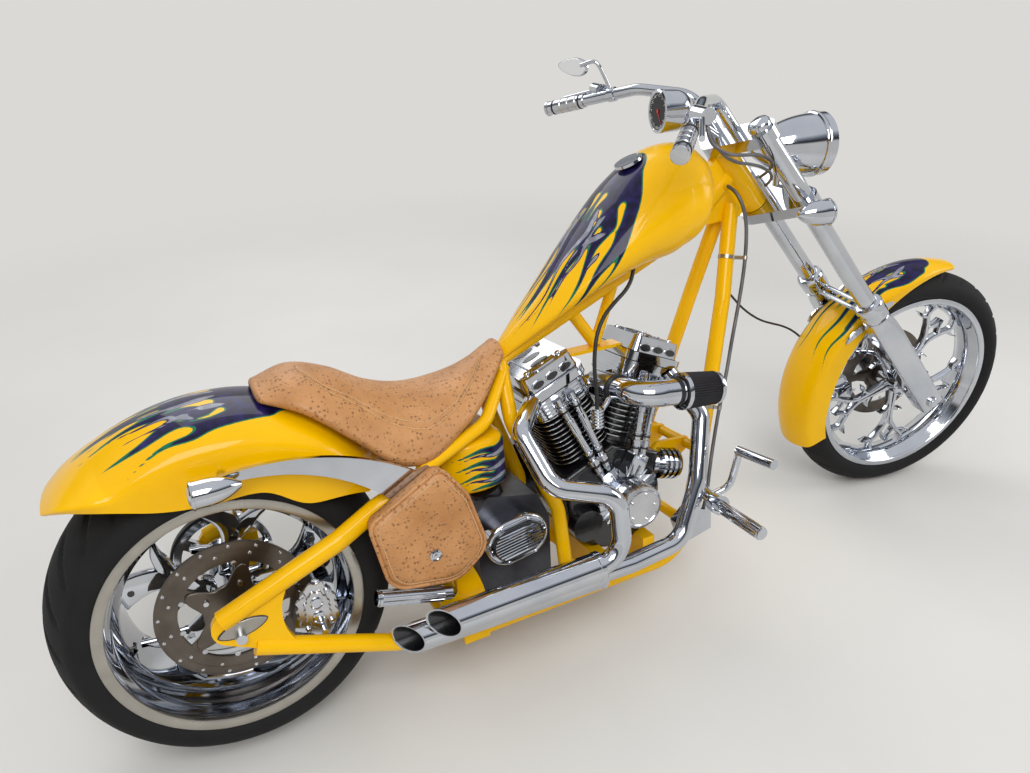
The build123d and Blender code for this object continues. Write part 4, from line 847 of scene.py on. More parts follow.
@dataclass
class FuelTank(Fitting):
    """The long wedge tank on the backbone, painted with flames behind its cap."""

    # x, underside height, top height, half width at the widest, half width of the underside
    sections: tuple = (
        (646, 690, 718, 26, 16), (735, 752, 800, 72, 48), (860, 818, 938, 112, 70), (985, 862, 1060, 134, 80),
        (1090, 886, 1114, 136, 84), (1160, 930, 1108, 116, 70), (1186, 975, 1090, 84, 50)
    )
    under: Flames = Flames(
        licks(
            (62, (985, 0), (900, 4), (800, 0), (700, 6)),
            (32, (972, 58), (948, 104), (902, 134), (846, 132), (780, 158), (735, 156)),
            (26, (955, 62), (912, 82), (864, 80), (812, 102), (752, 104)),
            (22, (930, 40), (860, 50), (790, 42), (700, 58)), (12, (936, 112), (912, 152), (868, 174), (808, 180))
        ),
        licks(
            (10, (938, 84), (916, 104), (884, 108)), (9, (905, 34), (880, 40), (850, 36)),
            (7, (886, 66), (862, 64), (836, 72)), (8, (935, 14), (915, 10), (890, 12)), tip=1.2
        ),
        16.0
    )
    over: Flames = Flames(
        licks(
            (11, (918, 22), (872, 36), (812, 18), (752, 32), (664, 20)),
            (10, (912, 58), (880, 48), (836, 62), (786, 54), (716, 74)),
            (8, (896, 92), (866, 62), (826, 40), (776, 52), (712, 34)), (6, (868, 104), (832, 98), (796, 118)),
            lead=0.22
        ),
        licks((4.0, (892, 42), (878, 46), (862, 46)), (3.0, (848, 50), (836, 48), (822, 50)), tip=0.8), 9.0
    )
    along: int = 190

    def build(self) -> None:
        """Skin the tank through its sections and paint it."""
        rows = eased(self.sections, self.along)
        stations = capped(rows, self.section, 8, 0.16)
        former = self.on_bike("fuel_tank_shell")
        former.skin([ring for ring, _, _ in stations])
        tank = former.finish(60)
        places = [place for _, x, ring in stations for place in self.spread(x, ring)]
        paint_flames(tank, places, self.under, self.over)
        dress(tank, "chassis", Coat.FLAMES, "fuel_tank")

    def section(self, _: float, low: float, top: float, half: float, base: float) -> tuple[list[Spot], float]:
        """One section: a flat underside, bulging sides and a round top."""
        h = top - low
        right = arc((base, 0), (half * 0.97, h * 0.24), (half, h * 0.45), 22)
        crown = arc((half, h * 0.45), (0, h), (-half, h * 0.45), 84)
        left = [(-y, z) for y, z in reversed(right)]
        flat = [(-base + 2 * base * i / 10, 0.0) for i in range(1, 10)]
        return [(y, low + z) for y, z in right[:-1] + crown + left[1:] + flat], (low + top) / 2

    def spread(self, x: float, ring: Rows) -> list[Spot]:
        """Each point's place along the tank and round it from the top."""
        crown = max(range(len(ring)), key=lambda i: ring[i][1])
        out = [0.0] * len(ring)
        for step in (1, -1):
            total, i = 0.0, crown
            for _ in range(len(ring) // 2 + 8):
                j = (i + step) % len(ring)
                total += dist(ring[i], ring[j])
                if out[j] == 0.0 or total < out[j]:
                    out[j] = total
                i = j
        return [(x, v) for v in out]


@dataclass
class Fender:
    """An arched sheet over a tyre, drawn as sections round the axle."""

    name: str
    node: str
    body: str
    frame: Matrix
    axle: Spot
    # angle round the axle from straight ahead, crown radius, half width, skirt radius
    sections: tuple
    under: Flames
    over: Flames
    sheet: float = 5.0
    along: int = 170
    # a place that no flame reaches
    unpainted: float = 900.0

    def build(self) -> None:
        """Skin the fender through its sections and paint it."""
        rows = eased(self.sections, self.along)
        rings, places = [], []
        for angle, crown, half, skirt in rows:
            a = radians(angle)
            outer = self.profile(crown, half, skirt)
            lengths = [0.0]
            for p, q in zip(outer, outer[1:]):
                lengths.append(lengths[-1] + dist(p, q))
            middle = lengths[len(outer) // 2]
            inner = [(y * (1 - self.sheet / half), r - (self.sheet if r > skirt + 1 else 0)) for y, r in outer[::-1]]
            rings.append([(self.axle[0] + r * cos(a), y, self.axle[1] + r * sin(a)) for y, r in outer + inner])
            places += [(a * crown, abs(v - middle)) for v in lengths] + [(a * crown, self.unpainted)] * len(inner)
        former = Former(self.name, self.frame)
        former.skin(rings)
        panel = former.finish(50)
        paint_flames(panel, places, self.under, self.over)
        dress(panel, self.body, Coat.FLAMES, self.node)

    def profile(self, crown: float, half: float, skirt: float) -> list[Spot]:
        """The outer side of one section, from skirt to skirt."""
        shoulder = crown - min(0.36 * half, 0.6 * (crown - skirt))
        edge = half * 0.97
        side = [(-edge + (edge - half) * i / 14, skirt + (shoulder - skirt) * i / 14) for i in range(14)]
        top = arc((-half, shoulder), (0, crown), (half, shoulder), 60)
        line = np.array(side + top + [(-y, r) for y, r in reversed(side)])
        for _ in range(16):
            line[1:-1] += 0.5 * ((line[:-2] + line[2:]) / 2 - line[1:-1])
        return [tuple(p) for p in line]


@dataclass
class OilTank(Fitting):
    """The rounded oil tank under the seat, with flames on its right cheek."""

    low: float = 438.0
    high: float = 560.0
    chamfer: float = 18.0
    # half outline seen from above, from the rear corner to the front one
    back: Spot = (452, 96)
    bulge: Spot = (530, 126)
    front: Spot = (596, 104)
    # a place that no flame reaches
    unpainted: float = 500.0
    under: Flames = Flames(
        licks(
            (18, (616, -16), (578, -30), (530, -22), (464, -40)), (17, (616, -46), (570, -60), (524, -50), (458, -68)),
            (16, (616, -76), (566, -84), (520, -78), (464, -97)),
            (10, (612, -104), (570, -108), (524, -106), (486, -114))
        ),
        licks((4.5, (566, -48), (548, -44), (528, -40)), (4.0, (560, -76), (540, -72), (520, -68)), tip=1.0), 7.0
    )
    over: Flames = Flames(
        licks(
            (9, (610, -30), (568, -40), (520, -32), (466, -50)), (8.5, (608, -62), (560, -70), (512, -62), (470, -80)),
            (7.5, (604, -90), (556, -96), (508, -90), (476, -104)), lead=0.22
        ),
        (), 5.0
    )

    def build(self) -> None:
        """Stack rounded rings from bottom to top, and paint the side."""
        side = arc(self.back, self.bulge, self.front, 30)
        nose, tail = self.front[0] + 6, self.back[0] - 6
        outline = [(x, -y) for x, y in side] + [(nose, -90), (nose + 2, 0), (nose, 90)]
        outline += side[::-1] + [(tail, 84), (tail - 2, 0), (tail, -84)]
        middle = Vector((525, 0))
        rings, places = [], []
        for i in range(27):
            t = i / 26
            z = self.low + (self.high - self.low) * t
            edge = min(t, 1 - t) * (self.high - self.low)
            pull = self.chamfer * (1 - sqrt(max(0.0, 1 - (1 - min(edge / self.chamfer, 1.0)) ** 2)))
            pulled = [Vector(p) + (middle - Vector(p)).normalized() * pull for p in outline]
            rings.append([(p.x, p.y, z) for p in pulled])
            places += [(x, z - self.high if y < 0 else self.unpainted) for x, y in outline]
        former = self.on_bike("oil_tank_shell")
        former.skin(rings)
        tank = former.finish(55)
        paint_flames(tank, places, self.under, self.over)
        dress(tank, "chassis", Coat.FLAMES, "oil_tank")


# --- wheels


def stroke(points: Rows, widths: Sequence[float], steps: int = 18) -> tuple:
    """The outline of a curved bar that thickens and thins along its way.

    Args:
        points: its middle line.
        widths: its full width at each of those points.
        steps: points along each side.
    Returns:
        The closed outline.
    """
    line = curve_points([(*p, w) for p, w in zip(points, widths)], steps)
    left, right = [], []
    for i, (x, y, w) in enumerate(line):
        a, b = line[max(i - 1, 0)], line[min(i + 1, steps - 1)]
        way = Vector((b[0] - a[0], b[1] - a[1])).normalized()
        left.append((x - way.y * w / 2, y + way.x * w / 2))
        right.append((x + way.y * w / 2, y - way.x * w / 2))
    return tuple(right + left[::-1])


def both_hands(outlines: Sequence[tuple]) -> tuple:
    """Outlines together with their mirror images."""
    return tuple(outlines) + tuple(tuple((-x, y) for x, y in reversed(line)) for line in outlines)


def mirrored(outer: Rows, inner: Rows) -> tuple:
    """Close a rim's section from its right half: tyre side first, then the bright side."""
    right = list(outer) + list(inner)
    left = [(r, -h) for r, h in reversed(right) if h > 0]
    return tuple(right + left)


def tyre_section(
    radius: float, crown: float, shoulder: float, half: float, wide_at: float, lip: float, foot: float
) -> tuple:
    """The outside of a tyre's section, from one rim lip over the tread to the other.

    Args:
        radius: over the crown.
        crown: radius of the crown's own curve.
        shoulder: offset at which the tread ends.
        half: half of the greatest width.
        wide_at: radius of that place.
        lip: offset of the foot at the rim.
        foot: radius of the foot.
    Returns:
        Offset and radius of each point.
    """
    edge = radius - crown + sqrt(crown**2 - shoulder**2)
    wall = arc((shoulder, edge), (half, wide_at), (lip, foot), 9)
    tread = arc((-shoulder, edge), (0, radius), (shoulder, edge), 26)
    return tuple([(-y, r) for y, r in reversed(wall)] + tread[1:-1] + wall)


@dataclass
class Wheel:
    """A polished billet wheel: a deep rim, curved blades and a hub, with its lips and blade holes."""

    name: str
    node: str
    body: str
    at: Matrix
    # radius and offset across of the rim's closed section
    rim: tuple
    hub: tuple
    lip: tuple
    blade: tuple
    blade_depth: float
    blade_inner: float
    # x, y and radius of the hole through each blade, filled with a black plug of painted shade
    hole: tuple = ()
    bevel: float = 6.0
    count: int = 5
    lip_coat: Coat = Coat.SATIN

    def build(self) -> None:
        """Turn the rim and hub, and stand the blades between them."""
        former = Former(self.name, self.at, self.body)
        former.lathe(self.rim, None, 144, hollow=True)
        former.lathe(self.hub, None, 56, hollow=True)
        for outline in self.blade:
            part = Former("blade")
            self.crown(part, outline)
            former.ring_of(part, self.count, 0.0, lift(self.blade_inner))
        bolt = turned("hub_bolt", [(5.5, 0), (5.5, 6), (4.5, 7.5), (0.5, 7.5)], 12)
        top = max(h for r, h in self.hub)
        former.ring_of(bolt, 5, 31.0, lift(top - 1))
        wheel = former.finish(32)
        dress(wheel, self.body, Coat.CHROME, self.node)
        lips = Former(self.name + "_lips", self.at, self.body)
        for side in (-1, 1):
            lips.lathe([(r, side * h) for r, h in self.lip], None, 144, hollow=True)
        lips.dress(self.lip_coat, slot="aluminium")
        if not self.hole:
            return
        # the holes through the blades are black plugs: painted shade for what shows through each hole
        x, y, r = self.hole
        dark = Former(self.name + "_blade_holes", self.at, self.body)
        eye = Former("eye")
        depth = self.blade_depth + 1.6
        eye.lathe([(0.5, 0), (r, 0), (r, depth), (0.5, depth)], moved(x, y, 0), 20)
        dark.ring_of(eye, self.count, 0.0, lift(self.blade_inner - 0.8))
        dark.dress(Coat.BLACK)

    def crown(self, part: Former, outline: Rows) -> None:
        """Give a blade a crowned section with soft edges."""
        rings = []
        for inset, height in (
            (0.3, 0.0), (0.12, 0.05), (0.03, 0.16), (0.0, 0.32), (0.0, 0.68), (0.03, 0.84), (0.12, 0.95), (0.3, 1.0)
        ):
            ring = []
            for i, p in enumerate(outline):
                way = (Vector(outline[(i + 1) % len(outline)]) - Vector(outline[i - 1])).normalized()
                q = Vector(p) + Vector((-way.y, way.x)) * self.bevel * inset / 0.3
                ring.append((q.x, q.y, self.blade_depth * height))
            rings.append(ring)
        part.skin(rings)


@dataclass
class Tyre:
    """A road tyre whose grooves are cut into its tread."""

    name: str
    node: str
    body: str
    at: Matrix
    # offset across and radius of the closed section, tread first
    tread: tuple
    inside: tuple
    grooves: int
    sweep: float
    steps: int = 840
    depth: float = 6.0

    def build(self) -> None:
        """Skin the section round the axle and sink the grooves."""
        former = Former(self.name, self.at, self.body)
        half = max(abs(y) for y, _ in self.tread)
        rings = []
        for k in range(self.steps):
            angle = 2 * pi * k / self.steps
            ring = [polar(r - self.depth * self.groove(angle, abs(y) / half, y), angle, y) for y, r in self.tread]
            rings.append(ring + [polar(r, angle, y) for y, r in self.inside])
        former.skin(rings, closed=True)
        former.dress(Coat.TYRE, self.node, sharp=40)

    def groove(self, angle: float, share: float, y: float) -> float:
        """How deep a groove is at a place, from 0 to 1."""
        if not 0.1 < share < 0.84:
            return 0.0
        fade = min(1.0, (share - 0.1) / 0.08, (0.84 - share) / 0.1)
        side = 0.5 if y > 0 else 0.0
        phase = (angle * self.grooves / (2 * pi) + side - self.sweep * share**1.4) % 1.0
        wide = 0.07 + 0.06 * (1 - share)
        return fade * max(0.0, 1.0 - (abs(phase - 0.5) / wide) ** 4) if abs(phase - 0.5) < wide else 0.0


@dataclass
class BrakeDisc:
    """The rivets, turned rings and lobed carrier on a brake rotor."""

    name: str
    body: str
    at: Matrix
    outer: float = 146.0

    def build(self) -> None:
        """Set the rivets and the carrier on the rotor's outer face."""
        former = Former(self.name + "_carrier", self.at, self.body)
        lobes = [polar(74 + 20 * cos(5 * a) + 6 * cos(10 * a), a) for a in (2 * pi * k / 120 for k in range(120))]
        former.plate(lobes, 5.0, None, 1.4)
        for radius in (106.5, 129.0, 143.5):
            former.lathe([(radius, -0.5), (radius + 0.9, 0.5), (radius - 0.9, 0.5)], None, 96, hollow=True)
        former.dress(Coat.STEEL)
        bolts = Former(self.name + "_bolts", self.at, self.body)
        bolt = turned("bolt", [(6, 0), (6, 4), (5, 5.5), (0.5, 5.5)], 12)
        bolts.ring_of(bolt, 5, 60.0, lift(5))
        bolts.ring_of(self.rivet(5.5), 10, 101.0, Matrix.Rotation(0.16, 4, "Z"))
        bolts.ring_of(self.rivet(3.4), 17, self.outer - 8, Matrix.Identity(4))
        bolts.ring_of(self.rivet(3.4), 12, self.outer - 24, Matrix.Rotation(pi / 26, 4, "Z"))
        bolts.dress(Coat.ALUMINIUM)

    def rivet(self, radius: float) -> Former:
        """One low round rivet head."""
        return turned("rivet", [(radius, -0.6), (radius, 0.8), (radius * 0.7, 1.4), (0.3, 1.5)], 10)


# --- engine


@dataclass
class Engine(Fitting):
    """What shows on the twin: bright fin edges, gaskets, bolts, cam disc, pushrod collars."""

    crank: Spot = (885.0, 300.0)
    tilt: float = 22.5
    fins: int = 11
    barrel_half: float = 78.0
    barrel_start: float = 136.0
    barrel_end: float = 292.0
    head_end: float = 342.0
    # x and height of the pushrod tubes' ends
    rod_feet: tuple = ((838, 386), (858, 392), (928, 404), (950, 398))
    rod_heads: tuple = ((742, 596), (778, 606), (988, 606), (1018, 590))

    def build(self) -> None:
        """Add the details of both cylinders, the cam side and the pushrod tubes."""
        self.fin_edges()
        self.rocker_boxes()
        self.cam_disc()
        self.pushrod_collars()

    def cylinder(self, sign: int, distance: float) -> Matrix:
        """A frame square to a cylinder's axis, at a distance from the crankshaft."""
        a = radians(self.tilt * sign)
        origin = (self.crank[0] + distance * sin(a), 0, self.crank[1] + distance * cos(a))
        return Matrix.Translation(origin) @ Matrix.Rotation(a, 4, "Y")

    def rounded(self, half_x: float, half_y: float, radius: float, steps: int = 8) -> list[Spot]:
        """A rounded rectangle, anticlockwise."""
        out = []
        for k, (sx, sy) in enumerate(((1, 1), (-1, 1), (-1, -1), (1, -1))):
            for i in range(steps + 1):
                a = pi / 2 * (k + i / steps)
                out.append((sx * (half_x - radius) + radius * cos(a), sy * (half_y - radius) + radius * sin(a)))
        return out

    def band(
        self, former: Former, half: Spot, radius: float, wall: float, depth: float, at: Optional[Matrix] = None
    ) -> None:
        """A closed rounded-rectangular band of small section."""
        outer = self.rounded(half[0], half[1], radius)
        inner = self.rounded(half[0] - wall, half[1] - wall, radius - wall)
        rings = [[(x, y, z) for x, y in line] for line, z in ((outer, 0), (outer, depth), (inner, depth), (inner, 0))]
        former.skin(rings, at, closed=True)

    def fin_edges(self) -> None:
        """Machined bright edges round each black fin."""
        former = self.on_bike("fin_edges")
        pitch = (self.barrel_end - self.barrel_start - 14) / self.fins
        for sign in (-1, 1):
            fin = Former("fin")
            half = self.barrel_half - 1.6
            self.band(fin, (half, half), 39.6, 2.6, 2.2, lift(0.9))
            former.row_of(fin, self.fins, (0, 0, pitch), self.cylinder(sign, self.barrel_start + 16))
        former.dress(Coat.ALUMINIUM)

    def rocker_boxes(self) -> None:
        """Dark gaskets between the head's layers, with bolts on the top and oval windows."""
        dark, bright = self.on_bike("rocker_gaskets"), self.on_bike("rocker_bolts")
        for sign in (-1, 1):
            half = self.barrel_half
            self.band(dark, (half + 2.6, half + 9.6), 24.6, 4, 2.4, self.cylinder(sign, self.head_end - 1.2))
            self.band(dark, (half - 6.4, half + 0.6), 22.6, 4, 2.4, self.cylinder(sign, self.head_end + 20.8))
            for x in (-38, 0, 38):
                spot = self.cylinder(sign, self.head_end + 30) @ moved(x, -half + 1.5, 0) @ UPRIGHT
                dark.plate(oval(15, 8, 28), 5.0, spot @ moved(0, 6, -3), 0.8)
                bright.plate(oval(18, 11, 28), 4.0, spot @ moved(0, 6, -3), 0.8)
            top = self.cylinder(sign, 401.5)
            bright.plate(self.rounded(34, 66, 14), 5.0, top @ lift(-0.5), 1.8)
            for y in (-38, 0, 38):
                dark.plate(oval(24, 12, 32), 2.0, top @ moved(0, y, 3.4), 0.6)
            for x in (-56, 56):
                bright.plate(self.rounded(6, 60, 4), 7.0, top @ moved(x, 0, -6), 1.6)
            for y in (-58, 58):
                bolt = turned("bolt", [(7, -1), (7, 4), (5.6, 6), (0.5, 6)], 12)
                bright.row_of(bolt, 3, (44, 0, 0), top @ moved(-44, y * 0.86, 0))
            fin = Former("head_fin")
            self.band(fin, (half + 1.4, half + 6.4), 35.4, 3.4, 3.0)
            bright.row_of(fin, 5, (0, 0, 9.4), self.cylinder(sign, self.barrel_end + 2))
        dark.dress(Coat.BLACK)
        bright.dress(Coat.CHROME)

    def cam_disc(self) -> None:
        """The turned cam nose with its ring of screws, and the ribs on the cover behind it."""
        face = axis_frame((893, -191.5, 322), (0, -1, 0))
        ring = self.on_bike("cam_disc")
        nose = [(53, -46), (54.5, -42), (54.5, -1), (52, 4), (46, 6), (43, 3.5), (41.5, 3.5), (40.5, 5.5), (0.5, 5.5)]
        ring.lathe(nose, face, 72)
        screw = turned("screw", [(3.6, 0), (3.6, 2.6), (2.8, 3.4), (0.4, 3.4)], 10)
        ring.ring_of(screw, 5, 34.0, face @ lift(5.2))
        rib = Former("rib")
        rib.plate([(0, -1.4), (26, -1.4), (26, 1.4), (0, 1.4)], 3.0, None, 0.5)
        cover = axis_frame((893, -132, 322), (0, -1, 0))
        ring.ring_of(rib, 24, 56.0, cover)
        ring.dress(Coat.ALUMINIUM)

    def pushrod_collars(self) -> None:
        """Collars, spring cups and seals along the four pushrod tubes."""
        bright, dark = self.on_bike("pushrod_collars"), self.on_bike("pushrod_seals")
        for foot, head in zip(self.rod_feet, self.rod_heads):
            a, b = Vector((foot[0], -112, foot[1])), Vector((head[0], -90, head[1]))
            way = b - a
            for share, radius, depth in ((0.16, 13.5, 16), (0.3, 12.0, 7), (0.55, 11.2, 46), (0.86, 13.0, 12)):
                spot = axis_frame(a + way * share, way)
                bright.lathe([(radius - 1.5, 0), (radius, 1.5), (radius, depth - 1.5), (radius - 1.5, depth)], spot, 24)
            for share in (0.13, 0.27, 0.84):
                dark.lathe([(11.0, 0), (11.6, 1), (11.6, 3), (11.0, 4)], axis_frame(a + way * share, way), 20)
        bright.dress(Coat.CHROME)
        dark.dress(Coat.RUBBER)


@dataclass
class Intake(Fitting):
    """The pleated cone filter at the end of the chrome elbow, with its bands."""

    base: Place = (992.0, -208.0, 592.0)
    elbow_turn: Place = (889.0, -204.0, 604.0)
    length: float = 102.0
    radius: float = 43.0
    tip: float = 37.7
    pleats: int = 44

    def build(self) -> None:
        """Fold the pleats and close the filter with its cap and clamps."""
        way = Vector(self.base) - Vector(self.elbow_turn)
        at = axis_frame(self.base, way)
        cone = self.on_bike("pleated_filter")
        rings = []
        for z, grow in (
            (6, 0.93), (8, 1.0), (self.length * 0.3, 1.0), (self.length * 0.6, 1.0), (self.length - 12, 1.0),
            (self.length - 10, 0.93)
        ):
            mean = self.radius + (self.tip - self.radius) * z / self.length
            folds = [(mean - (0.2, 2.2, 4.4, 2.2)[k % 4]) * grow for k in range(self.pleats * 4)]
            rings.append([polar(r, 2 * pi * k / len(folds), z) for k, r in enumerate(folds)])
        cone.skin(rings, at)
        cone.dress(Coat.PLEATS, "air_filter", sharp=20)
        trim = self.on_bike("filter_caps")
        trim.lathe([(30, -3), (42.5, -2), (43, 0), (43, 8), (41.5, 9.5), (30, 9.5)], at, 64)
        end = ((20, -12), (38.6, -12), (38.9, -10), (37.6, -1.5), (34, 0), (14, 0), (12, -2), (0.5, -2))
        trim.lathe([(r, self.length + h) for r, h in end], at, 64)
        trim.dress(Coat.CHROME)
        bands = self.on_bike("intake_bands")
        for place, direction, radius in (
            (Vector(self.base) - way.normalized() * 16, way, 31.0), (Vector((885, -112, 597)), Vector((0, -1, 0)), 33.2)
        ):
            band = [(radius, 0), (radius + 1.2, 1), (radius + 1.2, 9), (radius, 10)]
            bands.lathe(band, axis_frame(place, direction), 48)
        bands.dress(Coat.RUBBER)


@dataclass
class Gearbox(Fitting):
    """The ribbed side cover in its black frame, the primary's round lids, and the cover bolts."""

    middle: Place = (585.0, -166.4, 324.0)
    # x, height and radius of each round lid, and how far out they lie
    lids: tuple = ((588, 306, 62), (890, 304, 54))
    lid_face: float = 208.6

    def build(self) -> None:
        """Lay the ribs, the frame, the lid and the bolts."""
        face = Matrix.Translation(self.middle) @ UPRIGHT @ spun(8)
        frame = self.on_bike("gearbox_frame")
        frame.plate(self.slot(62, 38), 3.0, face, 0.8)
        frame.dress(Coat.BLACK)
        ribs = self.on_bike("gearbox_ribs")
        for y in range(-28, 29, 7):
            reach = 24 + sqrt(max(0.0, 34**2 - y**2))
            rib = [(-reach, y - 2.2), (reach, y - 2.2), (reach, y + 2.2), (-reach, y + 2.2)]
            ribs.plate(rib, 5.0, face @ lift(1.5), 1.6)
        for x, y in ((-68, 0), (68, 0), (-34, 44), (34, 44), (-34, -44), (34, -44)):
            ribs.row_of(self.bolt(), 1, (1, 0, 0), face @ moved(x * 0.96, y * 0.98, -1.5))
        ribs.dress(Coat.CHROME)
        lid = self.on_bike("primary_lid")
        for x, z, radius in self.lids:
            spot = axis_frame((x, self.lid_face, z), (0, 1, 0))
            edge = ((-2, 0), (0, 1.5), (0, 4), (-3, 6.5), (-12, 7), (-14, 5.5))
            lid.lathe([*((radius + r, h) for r, h in edge), (0.5, 6.5)], spot, 64)
            lid.ring_of(self.bolt(), 6, radius - 8, spot @ lift(6))
        for k in range(12):
            a = 2 * pi * k / 12
            x, z = 742 + 222 * cos(a), 304 + 84 * sin(a)
            lid.row_of(self.bolt(), 1, (1, 0, 0), axis_frame((x, self.lid_face - 2.1, z), (0, 1, 0)))
        lid.dress(Coat.CHROME)

    def bolt(self) -> Former:
        """One small round cover bolt."""
        return turned("bolt", [(4, 0), (4, 3), (3, 4), (0.4, 4)], 10)

    def slot(self, half: float, radius: float) -> list[Spot]:
        """A slot's outline: two half circles joined by straight sides."""
        reach = half - radius
        right = [(reach + radius * cos(a), radius * sin(a)) for a in np.linspace(-pi / 2, pi / 2, 14)]
        return right + [(-x, -y) for x, y in right]


@dataclass
class Exhausts(Fitting):
    """Black insides behind the slashed mouths, and clamp bands where the sleeves start."""

    # the middles of the slashed mouths, and of the sleeves' front ends
    mouths: tuple = ((362, -272, 266), (299, -220, 220))
    starts: tuple = ((726, -272, 268), (760, -220, 206.3))
    slant: float = 0.84

    def build(self) -> None:
        """Line the mouths and band the pipes."""
        inside, bands = self.on_bike("exhaust_insides"), self.on_bike("exhaust_bands")
        for mouth, start in zip(map(Vector, self.mouths), map(Vector, self.starts)):
            outside = [self.ring(mouth, radius, back) for radius, back in ((28.6, 0), (28.2, 60), (4, 74))]
            lining = [self.ring(mouth, radius, back) for radius, back in ((27.6, 0), (27, 58), (3, 72))]
            inside.skin(outside[::-1] + lining)
            way = start - mouth
            at = axis_frame(start - way.normalized() * 14, way)
            bands.lathe([(32.2, 0), (33.4, 1.2), (33.4, 12), (32.2, 13.2)], at, 48)
        inside.dress(Coat.BLACK)
        bands.dress(Coat.CHROME)

    def ring(self, mouth: Vector, radius: float, back: float) -> list[Row]:
        """One ring of a lining: slashed like the mouth at its very front, square further back.

        Args:
            mouth: the middle of the mouth.
            radius: the ring's radius.
            back: how far back it stands, 0 for the mouth itself.
        Returns:
            The ring's points.
        """
        points = []
        for y, z in oval(radius, radius, 40):
            x = back + 26 if back else 1.2 - self.slant * y
            points.append((mouth.x + x, mouth.y + y, mouth.z + z))
        return points


# --- front end


